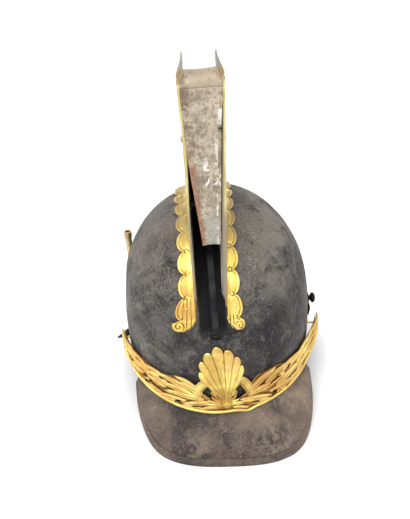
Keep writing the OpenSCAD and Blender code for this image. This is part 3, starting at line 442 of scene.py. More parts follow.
# Bindings: a strip of thin leather folded round each brim's edge and sewn through with a running stitch.
# Where the helmet stands on them they are pressed flat.
FOLD = [(-6, 1.75), (-5.6, 2.25), (-3.5, 2.6), (-0.8, 2.6), (0.5, 2.3), (1.2, 1.5), (1.45, 0.5),
        (1.45, -0.5), (1.2, -1.5), (0.5, -2.3), (-0.8, -2.6), (-3.5, -2.6), (-5.6, -2.25), (-6, -1.75),
        (-5.6, -1.35), (-2, -1.35), (0.2, -1.3), (0.35, 0), (0.2, 1.3), (-2, 1.35), (-5.6, 1.35),
        (-6, 1.75)]


def on_brim_edge(kind, u, out, up):
    """Point beside a brim's edge, by its distance outward from the edge and above the sheet."""
    edge, before, last, following = (brim_point(*BRIMS[kind], at, v) for at, v in (
        (u, 1), (u, 0.98), (max(0, u - 0.003), 1), (min(1, u + 0.003), 1)))
    outward = (edge - before).normalized()
    over = outward.cross((following - last).normalized())
    return edge + out * outward + up * over * (1 if over.z > 0 else -1)


def fold_surface(kind, u, v):
    at = v * (len(FOLD) - 1)
    first = min(int(at + 0.001), len(FOLD) - 2)
    out, up = Vector(FOLD[first]).lerp(Vector(FOLD[first + 1]), at - first)
    wavy = 1 + 0.05 * uneven(u * 60, v * 3, 0.0)
    p = on_brim_edge(kind, u, out * wavy, up * wavy)
    return Vector((p.x, p.y, max(p.z, 0.02)))


def close_ends(bm):
    bmesh.ops.remove_doubles(bm, verts=bm.verts, dist=MERGE)
    bmesh.ops.holes_fill(bm, edges=[e for e in bm.edges if e.is_boundary])


thread = Finish("waxed_thread", Base_Color=srgb(118, 104, 90), Roughness=0.7).material
STITCH, STITCH_HALF, FROM_EDGE, ON_LEATHER, THREAD_WIDE, THREAD_HIGH = 4.6, 1.3, -4.6, 2.5, 0.38, 0.3
for kind in BRIMS:
    bm = laid(170, len(FOLD) - 1, partial(fold_surface, kind))
    close_ends(bm)
    piece(kind + "_binding_strip", bm, binding_leather, (kind + "_binding",))
    bm = bmesh.new()
    edge = [brim_point(*BRIMS[kind], i / 200, 1) for i in range(201)]
    length = sum((after - before).length for before, after in zip(edge, edge[1:]))
    count = int(length / STITCH)
    for i in range(count):
        start, stop = (on_brim_edge(kind, (i + 0.5) / count + shift / length, FROM_EDGE, ON_LEATHER)
                       for shift in (-STITCH_HALF, STITCH_HALF))
        turned = (stop - start).to_track_quat("X", "Z").to_matrix().to_4x4()
        laid_down = turned @ Matrix.Diagonal(((stop - start).length / 2, THREAD_WIDE, THREAD_HIGH, 1))
        bmesh.ops.create_uvsphere(bm, u_segments=8, v_segments=5, radius=0.001,
                                  matrix=Matrix.Translation((start + stop) / 2000) @ laid_down)
    piece(kind + "_stitches", bm, thread, merge=False)


# Comb: two side plates of stamped sheet brass, leaning slightly apart, with a roped border, a fan of long
# leaves and a row of ribs along the foot. Outside they are dull gilt, inside plain grey metal.
COMB_X, COMB_GAP, PLATE, FRONT_ANGLE, REAR_ANGLE = -8.0, 25.0, 1.0, 33.0, 154.0
FLARE, LEAN, TURN = (tan(radians(degrees)) for degrees in (0.8, 1.0, 1.4))
TROUGH_END, COMB_HEIGHT = 217.0, 362.0


def over_dome(x, over):
    """Point of the dome at a distance from its middle plane and at an angle from the front over the top."""
    over = radians(over)

    def ray(side):
        spread = hypot(sin(side) / SKULL_A, cos(over) * cos(side) / SKULL_B)
        return (spread ** FULLNESS + (sin(over) * cos(side) / CROWN) ** FULLNESS) ** (-1 / FULLNESS)
    side = asin(x / ray(asin(x / ray(0.0))))
    r = ray(side)
    return Vector((x, -r * cos(over) * cos(side), WIDEST + r * sin(over) * cos(side)))


# The empty slot of the lost front cover is cut through the skull's front, below the comb.
SLOT_ASIDE, SLOT_ANGLE, SLOT_RADIUS, SLOT_STRETCH = -5.5, 20, 2.1, 1.6
slot = bmesh.new()
place = over_dome(SLOT_ASIDE, SLOT_ANGLE)
facing = skull_normal(place).to_track_quat("Z", "Y").to_matrix().to_4x4()
laid_on = Matrix.Translation(place / 1000) @ facing @ Matrix.Diagonal((SLOT_STRETCH, 1, 1, 1))
bmesh.ops.create_cone(slot, segments=40, radius1=SLOT_RADIUS / 1000, radius2=SLOT_RADIUS / 1000, depth=0.02,
                      cap_ends=True, matrix=laid_on)
cutter = placed("slot", bpy.data.meshes.new("slot"))
slot.to_mesh(cutter.data)
slot.free()
knife = skull.modifiers.new("cut", "BOOLEAN")
knife.operation, knife.object, knife.solver = "DIFFERENCE", cutter, "EXACT"
cut_mesh = bpy.data.meshes.new_from_object(skull.evaluated_get(bpy.context.evaluated_depsgraph_get()))
skull.modifiers.clear()
skull.data = cut_mesh
bpy.data.objects.remove(cutter)


def dome_place(over):
    p = over_dome(COMB_GAP / 2, over)
    return Vector((p.y, p.z))


FOOT_PLACE = dome_place(FRONT_ANGLE)


def plate_x(level):
    return COMB_GAP / 2 + (level - FOOT_PLACE.y) * FLARE


def comb_middle(p):
    return COMB_X + (p.y - FOOT_PLACE.y) * LEAN + (p.x - FOOT_PLACE.x) * TURN


def base_point(over, x=COMB_GAP / 2):
    p = off_skull(over_dome(x, over), 0.6)
    return Vector((p.y, p.z))


def along_curve(points, t):
    a, b, c, d = points
    return a * (1 - t) ** 3 + b * 3 * t * (1 - t) ** 2 + c * 3 * t * t * (1 - t) + d * t ** 3


comb_foot, comb_heel = base_point(FRONT_ANGLE), base_point(REAR_ANGLE)
comb_corner = Vector((comb_foot.x - 10, COMB_HEIGHT))
TOP_CURVE = (comb_corner + Vector((3, 0)), comb_corner + Vector((62, -3)),
             Vector((comb_heel.x - 6, mix(COMB_HEIGHT, comb_heel.y, 0.42))), comb_heel)


def top_point(t, inset=0.0):
    ahead = (along_curve(TOP_CURVE, min(1, t + 0.01)) - along_curve(TOP_CURVE, max(0, t - 0.01))).normalized()
    return along_curve(TOP_CURVE, t) + inset * Vector((ahead.y, -ahead.x))


def front_point(level, inset):
    climb = (level - comb_foot.y) / (COMB_HEIGHT - comb_foot.y)
    return Vector((mix(comb_foot.x, comb_corner.x, climb) + inset, level))


pin_places = [front_point(mix(TROUGH_END, COMB_HEIGHT, share), 15) for share in (0.23, 0.62)]
pin_places += [top_point(t, 15) for t in (0.16, 0.38, 0.58, 0.78)]


COMB_LEAVES = []
for share in ((i + 0.7) / 9.6 for i in range(9)):
    foot = base_point(mix(FRONT_ANGLE + 7, REAR_ANGLE - 12, share))
    start = foot + 13 * (foot - Vector((0, WIDEST))).normalized()
    run = top_point(mix(0.04, 0.86, share), 9 if len(COMB_LEAVES) % 2 == 0 else 13) - start
    COMB_LEAVES.append((start, run.length, run.normalized()))


def plate_relief(p, u, v, reach):
    """Height of the stamped pattern at a point of the plate, in millimetres."""
    to_top, to_front, to_foot = (1 - v) * reach, p.x - front_point(p.y, 0).x, v * reach
    edge = min(to_top, to_front if p.y < COMB_HEIGHT - 5 else to_top)
    run = 250 * u if to_top < to_front else p.y
    high = 0.0
    if 0.6 < edge < 5.6:
        high = sin(pi * (edge - 0.6) / 5) * (0.72 + 0.28 * sin(1.35 * run + 1.1 * edge))
    high = max(high, 0.55 * hump(edge, 7.6, 0.8))
    if to_foot < 9:
        high = max(high, 0.6 * sin(pi * to_foot / 9) * (0.5 + 0.5 * sin(330 * u)))
    if edge > 7:
        for start, length, heading in COMB_LEAVES:
            t = (p - start).dot(heading) / length
            if 0 < t < 1:
                off = (p - start).dot(Vector((heading.y, -heading.x))) - 5 * sin(pi * t)
                half = 8.2 * sin(pi * t ** 0.72) ** 0.75 * (1 - 0.1 * ((t * 13) % 1))
                q = abs(off) / max(half, 0.01)
                if q < 1:
                    leaf = 1.15 * smooth((1 - q) * half / 2.6) * (1 - 0.2 * q * q)
                    leaf += 0.14 * sin(60 * t - 5 * q) * smooth(q * 4)
                    high = max(high, leaf - 0.5 * hump(off, 0, 0.7) * smooth((1 - t) * 6))
            for berry in (1.04, 1.09):
                near = (p - start - heading * length * berry).length
                high = max(high, 0.8 * hump(near, 0, 1.6) * smooth((edge - 7) / 3))
    return high * min(1, *(smooth(((p - pin).length - 2.7) / 1.6) for pin in pin_places))


def leaning_in(side, level, ahead):
    """How far a plate has been bent inward by use, at a height and a distance behind its front edge."""
    if side < 0:
        return 1.5 * hump(level, 300, 34) * (1 - smooth(ahead / 40))
    return 2.8 * smooth(ahead / 7) * (1 - smooth((ahead - 60) / 50)) * min(1, max(0, (345 - level) / 80))


def plate_surface(side, u, v):
    over = mix(FRONT_ANGLE, REAR_ANGLE - 1.2, u)
    low = dome_place(over)
    foot, top = base_point(over, comb_middle(low) + side * (plate_x(low.y) + PLATE)), top_point(u * 0.995)
    reach = (top - foot).length
    p = foot.lerp(top, v)
    ahead = p.x - front_point(p.y, 0).x
    curl = min(1, 1.6 * max(0.0, 1 - abs(ahead - 2.6) / 5.0)) * smooth((v - 0.8) / 0.2)
    p = Vector((p.x - 2.5 * curl, p.y + 13.5 * curl))
    ripple = 0.35 * uneven(p.x / 30, p.y / 30, side * 4.0)
    out = PLATE + plate_relief(p, u, v, reach) * (1 - curl) + max(ripple, -0.2)
    for level, swell in ((354, 2.6), (345, 2.2), (336, 1.4)):
        out += swell * hump((p - front_point(level, 3.5)).length, 0, 4.4) * (1 - curl ** 3)
    bend = ((3.2 if side < 0 else 4.2) + 0.45 * (ahead - 2.6)) * curl + leaning_in(side, p.y, ahead)
    return Vector((comb_middle(p) + side * (plate_x(p.y) + out - bend), p.x, p.y))


def gilding(name, bright, body, worn, dirt_and_shade, metal=0.85, gloss=0.36, tips=False, low=None, high=None,
            shaded_rims=False, hem=None):
    """Gilt or plain brass: bright where it is rubbed, brown in its hollows.

    The last five are grey tips, the tones low down and high up, painted shade along the leaf edges and the
    tone of a hem."""
    look = Finish(name, Metallic=metal)
    cloud, fine, broad = look.noise(42, 6, 0.62, 0.4), look.noise(330, 4, 0.6), look.noise(13, 4, 0.5)
    hollow, beside, z = look.own("hollow"), look.own("beside"), look.axis("Z")
    look.base(body, bright, cloud.band(0.42, 0.62))
    look.tint(worn, broad.band(0.5, 0.68) * 0.7)
    look.tint(dirt_and_shade, hollow.band(0.03, 0.42) * 0.92)
    look.tint(dirt_and_shade, look.dots(300, 0.06, 0.2) * look.noise(35, 3, 0.5).band(0.46, 0.62) * 0.6)
    look.tint(bright, (0 - hollow).band(0.1, 0.6) * 0.5)
    # Painted shade along both edges of each leaf.
    if shaded_rims:
        look.tint(dirt_and_shade, (beside.band(0.78, 1.02) + 1 - beside.band(-0.02, 0.22)) * 0.75)
    if hem:
        look.tint(hem, beside.window(0.24, 0.34, 0.66, 0.76) * look.axis("X").band(-0.006, -0.002) * 0.9)
    if low:
        look.tint(low, (1 - z.band(0.232, 0.262)) * 0.85)
    if high:
        look.tint(high, z.band(0.184, 0.207) * 0.85)
    if tips:
        look.tint((172, 167, 157), z.band(0.36, 0.366))
    rough = (gloss + 0.22 * cloud + hollow.band(0.0, 0.5) * 0.2).clip()
    return look.done(rough, fine * 0.5 + cloud * 0.8, 0.0004, 0.6)


def grey_iron(name, dark=(60, 59, 58), pale=(112, 108, 103), rust=(104, 76, 58), metal=0.55):
    look = Finish(name, Metallic=metal)
    cloud = look.noise(48, 6, 0.65, 0.5)
    look.base(dark, pale, cloud.band(0.36, 0.66))
    look.tint(rust, look.noise(75, 5, 0.7).band(0.55, 0.7) * 0.55)
    return look.done(0.5 + 0.2 * cloud, look.noise(260), 0.0004, 0.6)


comb_brass = gilding("comb_brass", (214, 190, 140), (178, 154, 110), (150, 128, 92), (84, 66, 44), tips=True)
edge_brass = gilding("edge_brass", (236, 226, 160), (206, 192, 122), (176, 150, 100), (120, 92, 56),
                     metal=0.6, low=(150, 138, 120), hem=(150, 141, 126))
inner_metal = grey_iron("inner_metal", (150, 144, 134), (206, 200, 190), (140, 116, 94), metal=0.1)


def edge_bead(side, u, v):
    p = front_point(mix(comb_foot.y + 9, COMB_HEIGHT - 6, u), 0.9)
    turn, swell = 2 * pi * v, 1.15 * smooth(u * 40) * smooth((1 - u) * 40) + 0.02
    hem = 1 + 1.6 * min(1, max(0, (335 - p.y) / 100)) if side > 0 and cos(turn) < 0 else 1
    out = plate_x(p.y) + 1.0 - leaning_in(side, p.y, 0) + swell * hem * cos(turn)
    return Vector((comb_middle(p) + side * out, p.x + swell * sin(turn), p.y))


SIDES = ((-1, "left"), (1, "right"))
for side, name in SIDES:
    piece("comb_edge_bead_" + name, laid(90, 12, partial(edge_bead, side)), edge_brass)
    plate = laid(230, 150, partial(plate_surface, side))
    piece("comb_plate_" + name, plate, comb_brass, ("comb_side_" + name,), wall=PLATE,
          flip=Vector((COMB_X / 1000, 0, 0.2)), inner=inner_metal)


# Scalloped flanges: strips of sheet brass screwed to the skull beside the comb. Each of the fourteen
# lobes is a smooth shell with a rim line, and small bosses lie in the notches. At the foot the strip ends
# in a ribbed scroll.
FLANGE_START, FLANGE_STOP, LOBES, SCROLL = 22.5, 156.0, 14, 6.0


def flange_surface(side, u, v):
    width, waist, extra, scroll, notch = (16, 0.16, 6, 6.2, 6.8) if side < 0 else (12.5, 0.08, 3, 4.8, 5.8)
    flutes = ((3.2, 1.6), (6.4, 2.6), (9.4, 4.2)) if side < 0 else ((2.0, 0.6), (4.6, 1.0))
    lobe = min(int(u * LOBES), LOBES - 1)
    a = sin(pi / 2 * u * LOBES) if lobe == 0 else -cos(pi * (u * LOBES - lobe))
    share = a if lobe == 0 else lobe + (a + 1) / 2
    lobe_angle = (FLANGE_STOP - FLANGE_START - SCROLL) / (LOBES - 1)
    over = FLANGE_START + SCROLL * min(share, 1) + lobe_angle * max(0, share - 1)
    foot = 1 - smooth(share)
    low = dome_place(over)
    inner = plate_x(low.y) + 1.6
    if side > 0:
        inner -= leaning_in(side, low.y, low.x - comb_foot.x) * (1 - v) ** 6
    wide = width * (1 - waist * sin(pi * min(1, (over - FLANGE_START) / 72)))
    wide += extra * (1 - smooth((share - 0.4) / 2.1))
    bend = scroll / wide
    if v > 1 - bend:
        v = 1 - bend + bend * sin(pi / 2 * (v - 1 + bend) / bend)
    cut_back = notch * (1 - arc(a))
    beside = (wide - cut_back) * v
    lowest = 0.6 + 5.6 * max(0.0, 1 - v / 0.62) ** 2.4
    lowest += scroll / 2 * (1 - arc(max(0.0, (v - 1 + bend) / bend)))
    turned = over + foot * lowest
    if share < 1:
        climb, along, fall = 2 * (turned - FLANGE_START), (1 - abs(a)) * 12, a ** 4
    else:
        climb, along, fall = 12 + (share - 1) * 19, (1 - abs(a)) * 9.5, a * a
    round_edge = wide - cut_back - 0.3 * (1 - arc(a)) - beside
    if share <= 1:
        round_edge = min(wide - cut_back - beside, climb - 2 * lowest * foot + 1.5)
    high = 1.3 * max(0.0, 1 - 0.9 * fall) ** 0.5 * smooth(beside / 5) * smooth((round_edge + 0.4) / 3.4)
    high += -1.0 * hump(round_edge, 2.5, 0.85) * smooth(beside / 3) + 0.3 * hump(round_edge, 0.9, 0.6)
    boss = hypot(along, beside - wide + notch + 2.2)
    high = max(high - 0.15 * hump(boss, 2.2, 0.7), 1.15 * arc(boss / 1.5))
    high += 0.35 * hump(beside, 0.9, 0.8)
    if share < 2.6:
        fade = smooth((36 - climb) / 10) * (1 if side < 0 else smooth((20 - climb) / 8))
        for start, drift in flutes:
            high -= 0.7 * hump(beside - start - drift * (1 - climb / 30), 0, 0.6) * fade
    if share < 1.15:
        off = Vector((beside - wide + scroll, climb - scroll))
        spiral = 0.85 + 0.36 * sin(1.7 * off.length - atan2(off.y, off.x))
        high = mix(high, spiral, smooth((scroll + 0.4 - off.length) / 1.4) * (1 if side < 0 else 0.8))
    return off_skull(over_dome(comb_middle(low) + side * (inner + beside), turned), 0.35 + 0.9 + high)


gilt_brass = gilding("gilt_brass", (248, 228, 138), (216, 180, 98), (212, 160, 88), (108, 68, 30), gloss=0.3)
flange_brass = gilding("flange_brass", (255, 238, 134), (232, 196, 98), (222, 168, 88), (104, 66, 30),
                       gloss=0.28, high=(166, 144, 98))
for side, name in SIDES:
    strip = laid(LOBES * 24, 36, partial(flange_surface, side))
    piece("flange_strip_" + name, strip, flange_brass, ("comb_flange_" + name,), wall=0.85,
          flip=Vector((0, 0, 0.08)))


# Crest trough: a sheet of tinned steel that held the crest. It runs up the open front, turns over the
# corner and down the comb's top. Its tin is pitted and rusty, and its left edge shows copper.
TROUGH_DEPTH, TROUGH_WALL, TROUGH_INSET, TROUGH_END_WIDTH = 4.5, 0.8, 0.6, 15.2
TURN_RADIUS, TURN_FROM, TURN_TO = 13.0, 0.45, 0.5


def trough_station(s):
    """Middle of the trough's surface at a share of its length, and the direction into the comb."""
    high = COMB_HEIGHT - TURN_RADIUS - TROUGH_INSET
    if s < TURN_FROM:
        return front_point(mix(TROUGH_END, high, s / TURN_FROM), TROUGH_INSET), Vector((1, 0))
    if s < TURN_TO:
        turn = radians(90 * (s - TURN_FROM) / (TURN_TO - TURN_FROM) * 0.98)
        middle = front_point(high, TROUGH_INSET) + Vector((TURN_RADIUS, 0))
        return middle + TURN_RADIUS * Vector((-cos(turn), sin(turn))), Vector((cos(turn), -sin(turn)))
    t = mix(0.1, 0.9, (s - TURN_TO) / (1 - TURN_TO))
    p = top_point(t, TROUGH_INSET)
    return p, (top_point(t, TROUGH_INSET + 1) - p).normalized()


def trough_surface(u, v):
    p, inward = trough_station(v)
    free = 0.0
    if p.x < comb_corner.x + TURN_RADIUS:
        free = max(0.0, (COMB_HEIGHT - TURN_RADIUS - p.y) / (COMB_HEIGHT - TURN_RADIUS - TROUGH_END))
    right = plate_x(p.y) + mix(0.8, -0.35, smooth(free * 5)) - 2.5 * free
    left = mix(-plate_x(p.y) - 0.8, right - TROUGH_END_WIDTH, free ** 1.8)
    depth = TROUGH_DEPTH * (1 - 0.6 * free) * mix(0.3, 1, smooth((p - comb_corner).length / 80))
    sunk = depth * (1 - (2 * u - 1) ** 2) + 0.18 * hump(p.y, 349.5, 1.4) * (1 if free > 0 else 0)
    p = p + sunk * inward
    place = Vector((comb_middle(p) + mix(left, right, u), p.x, p.y))
    dented = 0.18 * noise.noise(place / 9) * smooth(u * 8) * smooth((1 - u) * 8)
    return place + dented * Vector((0, inward.x, inward.y))


def tinned_steel():
    look = Finish("tinned_steel", Metallic=0.3)
    cloud, grain, fine = look.noise(100, 6, 0.75, 0.3), look.noise(330, 6, 0.8), look.noise(700, 5, 0.7)
    z, edge = look.axis("Z"), look.own("across")
    look.base((146, 132, 114), (206, 192, 170), cloud.band(0.36, 0.6))
    look.tint((168, 152, 128), z.band(0.347, 0.351) * edge.band(0.12, 0.35) * 0.8)
    look.tint((112, 97, 82), grain.band(0.5, 0.6) * (1 - z.band(0.346, 0.35) * 0.8) * 0.7)
    look.tint((172, 170, 158), (1 - z.band(0.236, 0.254)) * edge.band(0.24, 0.36) * 0.75)
    fold = z.window(0.3488, 0.3494, 0.3498, 0.3506)
    look.tint((160, 140, 120), fold * 0.7)
    left = 1 - edge.band(0.06, 0.34)
    look.tint((128, 104, 82), look.noise(95, 6, 0.7, 0.5).band(0.4, 0.6) * left * 0.9)
    look.tint((150, 128, 84), edge.band(0.9, 0.96) * look.noise(150, 5, 0.65).band(0.42, 0.58) * 0.7)
    copper = (1 - edge.band(0.05, 0.24)) * (1 - z.band(0.262, 0.312) * 0.95)
    look.tint((182, 122, 92), copper * look.noise(150, 5, 0.7).band(0.36, 0.54) * 0.85)
    dark = look.dots(420, 0.08, 0.24) * look.noise(60, 4, 0.6).band(0.44, 0.6)
    tiny = look.dots(560, 0.12, 0.34) * look.noise(36, 4, 0.6).band(0.36, 0.56)
    look.tint((74, 62, 50), (dark * (0.35 + left)).clip() * 0.95 + tiny * 0.6)
    blots = look.noise(110, 4, 0.6, 0.4).band(0.62, 0.68) * z.window(0.24, 0.252, 0.266, 0.276)
    look.tint((92, 58, 40), blots * 0.85)
    wax = look.noise(120, 5, 0.6, 0.8).band(0.56, 0.61) * z.window(0.264, 0.274, 0.286, 0.296)
    wax *= edge.band(0.3, 0.45)
    streak = look.noise(150, 4, 0.6).band(0.48, 0.56) * edge.window(0.8, 0.85, 0.88, 0.93)
    look.tint((246, 243, 236), wax * 0.9 + streak * (1 - z.band(0.3, 0.32)) * 0.6)
    torn = look.noise(260, 4, 0.7).band(0.42, 0.52)
    look.tint((244, 242, 238), torn * edge.band(0.87, 0.94) * z.window(0.3205, 0.3235, 0.332, 0.335) * 0.9)
    look.tint((26, 22, 20), torn * edge.band(0.84, 0.94) * z.window(0.315, 0.3165, 0.3195, 0.321) * 0.95)
    rough = (0.4 + 0.25 * cloud + dark * 0.3).clip()
    relief = grain + fine * 0.5 - dark * 0.8 - fold * 0.8
    return look.done(rough, relief, 0.0006, 0.7)


piece("crest_trough_sheet", laid(36, 320, trough_surface), tinned_steel(), ("crest_trough",),
      wall=TROUGH_WALL, offset=1.0, flip=Vector((COMB_X / 1000, 0.02, 0.24)), inner=inner_metal)


# Wreath band: a sheet brass band cut and stamped as laurel, held by rivets. Long leaves with a midrib
# overlap outward from the knot in the middle, two straps arch beside the palmette, and a rolled bead
# carries them below.
BAND_REACH, BAND_LEVEL, BAND_RISE = 155.0, 38.0, 15.0


def band_point(s, h, rise):
    """Point of the band at a distance s from its middle and a height h above its lower edge, both in mm."""
    share = abs(s) / BAND_REACH
    angle = -90 + s / BAND_REACH * 85
    base = BAND_LEVEL + BAND_RISE * share ** 2
    spread = (1.5 if s < 0 else 6) * smooth(3 * share - 2)
    stand = mix(3.1, 0.6, smooth((h - 6) / 24))
    return off_skull(skull_at(angle, base + h), spread + stand + rise)


def along_heights(points, s):
    """Height at a distance s between named places of an outline."""
    for (s0, h0), (s1, h1) in zip(points, points[1:]):
        if s0 <= s <= s1:
            return mix(h0, h1, (s - s0) / (s1 - s0))
    return points[0][1] if s < points[0][0] else points[-1][1]


BAND_TOP = [(-155, 13), (-142, 20), (-128, 24), (-112, 26), (-97, 30), (-80, 30), (-66, 32), (-53, 36),
            (-40, 33), (-31, 29), (-24, 24), (-10, 14), (8, 14), (22, 22), (26, 31), (33, 38), (50, 38),
            (60, 36), (70, 31), (93, 26), (128, 23), (142, 20), (155, 13)]
# Openings between the leaves: the two ends of each and its half width at them, drawn 1.5 times as wide.
SLITS = [(-53.8, 3.6, -45.2, 6.4, 0.6, 3.0), (-34.6, 6.0, -23.7, 8.0, 0.9, 0.6),
         (-76.6, 11.0, -60.2, 16.0, 0.8, 0.8), (-97.6, 9.0, -87.5, 14.5, 0.9, 0.9),
         (-70.4, 25.2, -61.0, 27.0, 0.7, 0.9), (-91.3, 7.5, -81.1, 10.5, 0.6, 0.9),
         (46.5, 6.2, 58.5, 4.2, 3.2, 0.6), (15.5, 10.0, 33.7, 4.8, 0.6, 0.9),
         (41.9, 19.5, 58.4, 23.0, 0.6, 0.8), (63.6, 21.0, 73.0, 26.5, 0.9, 1.2),
         (76, 12, 90, 16, 0.6, 0.9), (-124, 9, -112, 13, 0.6, 0.8), (102, 10, 114, 14, 0.6, 0.8),
         (-17.6, 24.2, -17.6, 32.0, 3.0, 0.3), (12.6, 24.6, 12.6, 31.4, 2.9, 0.3)]


def in_slit(s, h):
    """Whether a place of the band lies in one of the openings between its leaves."""
    for s0, h0, s1, h1, first, last in SLITS:
        run, climb = s1 - s0, h1 - h0
        length = hypot(run, climb)
        t = ((s - s0) * run + (h - h0) * climb) / length / length
        if 0 < t < 1:
            half = 1.5 * mix(first, last, t) * min(1, 5 * t, 5 * (1 - t))
            if abs((h - h0) * run - (s - s0) * climb) / length < half:
                return True
    return False


def leaf_place(s0, h0, s1, h1, half, bow, lift, turn, u, v):
    run, climb = s1 - s0, h1 - h0
    length = hypot(run, climb)
    hand = 1 if run > 0 else -1
    q = 2 * v - 1
    wide = half * max(sin(pi * min(1, u * 0.96 + 0.04) ** 0.85), 0.0) ** 0.7
    bent = bow * sin(pi * u)
    s = s0 + run * u - hand * climb / length * (q * wide + bent)
    h = h0 + climb * u + abs(run) / length * (q * wide + bent)
    crown = 2.1 * (1 - q * q) ** 0.8 - 1.0 * hump(q, 0, 0.14) * smooth((1 - u) * 5)
    return s, h, lift + 1.5 * u + crown * smooth(u * 5 + 0.4) * smooth((1 - u) * 4 + 0.3) + turn * q


leaf_brass = gilding("leaf_brass", (250, 222, 134), (224, 178, 98), (206, 154, 88), (116, 74, 36), gloss=0.32,
                     shaded_rims=True)
# Leaves, each from its foot to its tip as distances from the middle and heights, its half width and its bow.
OUTER = [(25, 4.8, 47, 2.6, 2.8, 0.4), (45, 4.4, 70, 2.4, 2.6, 0.4), (70, 3.8, 100, 3.2, 2.4, 0.3),
         (82, 8, 108, 13, 3.8, 1), (79, 16, 110, 20, 3.8, 1), (84, 23, 116, 25, 3.4, 1),
         (98, 14, 130, 17, 3.6, 0.8), (101, 7, 132, 9, 3.4, 0.6), (107, 21, 136, 21, 3.0, 0.8),
         (122, 12, 151, 14, 3.2, 0.6), (126, 17, 150, 17, 2.6, 0.4), (119, 6, 147, 9, 3.0, 0.4)]
INNER = {-1: [(56, 12, 88, 17.5, 4.0, 1), (57, 20, 87, 23.5, 4.0, 1), (62, 4.5, 99, 6, 3.6, 0.6),
              (61, 26, 89, 28, 3.6, 1), (40, 9, 73, 4, 3.6, 0.6), (37, 24, 71, 30, 4.4, 1.5),
              (30, 17, 63, 23, 4.2, 1), (22, 15, 63, 14.5, 3.8, 1), (28, 26, 52, 38, 4.0, 1.5),
              (23, 20, 50, 31.5, 4.2, 1.5), (13, 12, 46, 6, 3.9, 0.8), (8, 7, 29, 3.6, 2.7, 0.4)],
         1: [(53, 13, 92, 16.5, 4.6, 1), (56, 22, 90, 24.5, 4.2, 1), (62, 6, 97, 6, 3.8, 0.6),
             (60, 27, 91, 27.5, 3.4, 1), (45, 9.5, 83, 4.5, 4.6, 0.6), (40, 21, 66, 32.5, 4.6, 1.5),
             (35, 16, 67, 22.5, 4.0, 1), (24, 21, 53, 37, 4.8, 1.5), (22, 16, 51, 20, 4.0, 1),
             (12, 12, 47, 6.5, 4.2, 0.8), (7, 9, 28, 11, 2.7, 0.4), (5, 6, 23, 3.2, 2.5, 0.3)]}
PETALS = [(-21, 12.5), (-18.5, 17), (-14.5, 20.5), (-10.5, 23), (-6, 25), (2.5, 25), (6, 23.5), (10, 21),
          (13, 17), (15.5, 13)]


def laid_on_band(columns, rows, *places):
    """A new mesh with a grid laid on the band for each place, less the openings."""
    bm = bmesh.new()
    for place in places:
        shaped_grid(bm, columns, rows, lambda u, v: band_point(*place(u, v)),
                    lambda u, v: in_slit(*place(u, v)[:2]))
    return bm


draw = random.Random(11)
shapes = []
for hand, inner in INNER.items():
    for s0, h0, s1, h1, half, bow in OUTER + inner:
        shift, climb, turn = draw.uniform(-1.0, 1.0), draw.uniform(-0.6, 0.6), draw.uniform(0.15, 0.5)
        ends = hand * s0, h0, hand * (s1 + shift), h1 + climb
        shapes.append(partial(leaf_place, *ends, half, bow, 0.35, turn))
shapes += [partial(leaf_place, -2.7, 9.5, *end, 1.9, 0.3, 0.9, 0.0) for end in PETALS]
piece("wreath_leaves", laid_on_band(40, 14, *shapes), leaf_brass, ("wreath_band",), wall=0.5,
      merge=False, flip=INSIDE)


def bead_surface(u, v):
    s = mix(-BAND_REACH, BAND_REACH, u)
    turn = 2 * pi * v
    pinch = 1 - 0.3 * hump(s, 24, 7)
    low = 0.6 - 2.2 * hump(s, 21, 6.5) + 1.0 * hump(s, 4, 9) + 0.3 * uneven(s / 14, 0.0, 3.0)
    return band_point(s, low + 1.75 * pinch * sin(turn), 1.9 + 1.75 * cos(turn))


def strip_place(u, v):
    s = mix(-BAND_REACH, BAND_REACH, u)
    h = mix(-0.5, along_heights(BAND_TOP, s) - 2.2, v)
    fan = h - abs(s) * 0.16 + 3 * sin(s / 17)
    return s, h, 0.15 + 0.18 * abs(sin(fan * 0.5))


ARCHES = [[(-30, 16), (-26.5, 28), (-19.5, 34.6), (-13.0, 29), (-8, 19)],
          [(5.5, 20), (8.5, 30), (14.8, 36.6), (21.5, 28), (27, 16)]]


def through(points, t):
    """Point on a smooth line through given points."""
    ends = [2 * points[0] - points[1]] + points + [2 * points[-1] - points[-2]]
    at = min(t * (len(points) - 1), len(points) - 1.0001)
    first = int(at)
    a, b, c, d = ends[first:first + 4]
    t = at - first
    square, cube = 2 * a - 5 * b + 4 * c - d, 3 * b - a - 3 * c + d
    return 0.5 * (2 * b + (c - a) * t + square * t * t + cube * t ** 3)


def arch_place(arch, u, v):
    points = [Vector(point) for point in arch]
    q = 2 * v - 1
    ahead = (through(points, min(1, u + 0.01)) - through(points, max(0, u - 0.01))).normalized()
    p = through(points, u) + 4.6 * q * Vector((-ahead.y, ahead.x))
    ridge = 1.2 * (1 - q * q) ** 0.6 - 0.5 * hump(q, 0.7, 0.12) - 0.5 * hump(q, -0.7, 0.12)
    return p.x, p.y, 1.3 + ridge


# Painted shade: the backing strip is gilt brass made darker and browner than the leaves, so the gaps between
# the leaves read as shade.
shaded_band_ground = gilding("shaded_band_ground", (216, 174, 104), (182, 138, 78), (156, 112, 62), (76, 50, 26),
                      gloss=0.42)
bead = laid(300, 12, bead_surface)
close_ends(bead)
piece("band_bead", bead, gilt_brass)
strip = laid_on_band(440, 44, strip_place)
piece("band_strip", strip, shaded_band_ground, wall=0.5, flip=INSIDE)
arches = laid_on_band(60, 20, *(partial(arch_place, arch) for arch in ARCHES))
piece("band_arches", arches, gilt_brass, wall=0.6, merge=False, flip=INSIDE)


# Palmette: a stamped fan of seven fluted lobes on a short stem, in front of the band, held by the
# rosette's rivet. It leans a little to the left, as the photograph shows it.
FAN_LEVEL, FAN_SPREAD, FAN_LEAN, FAN_REACH, FAN_LOBES = 66.0, 51.0, -7.0, 50.0, 7


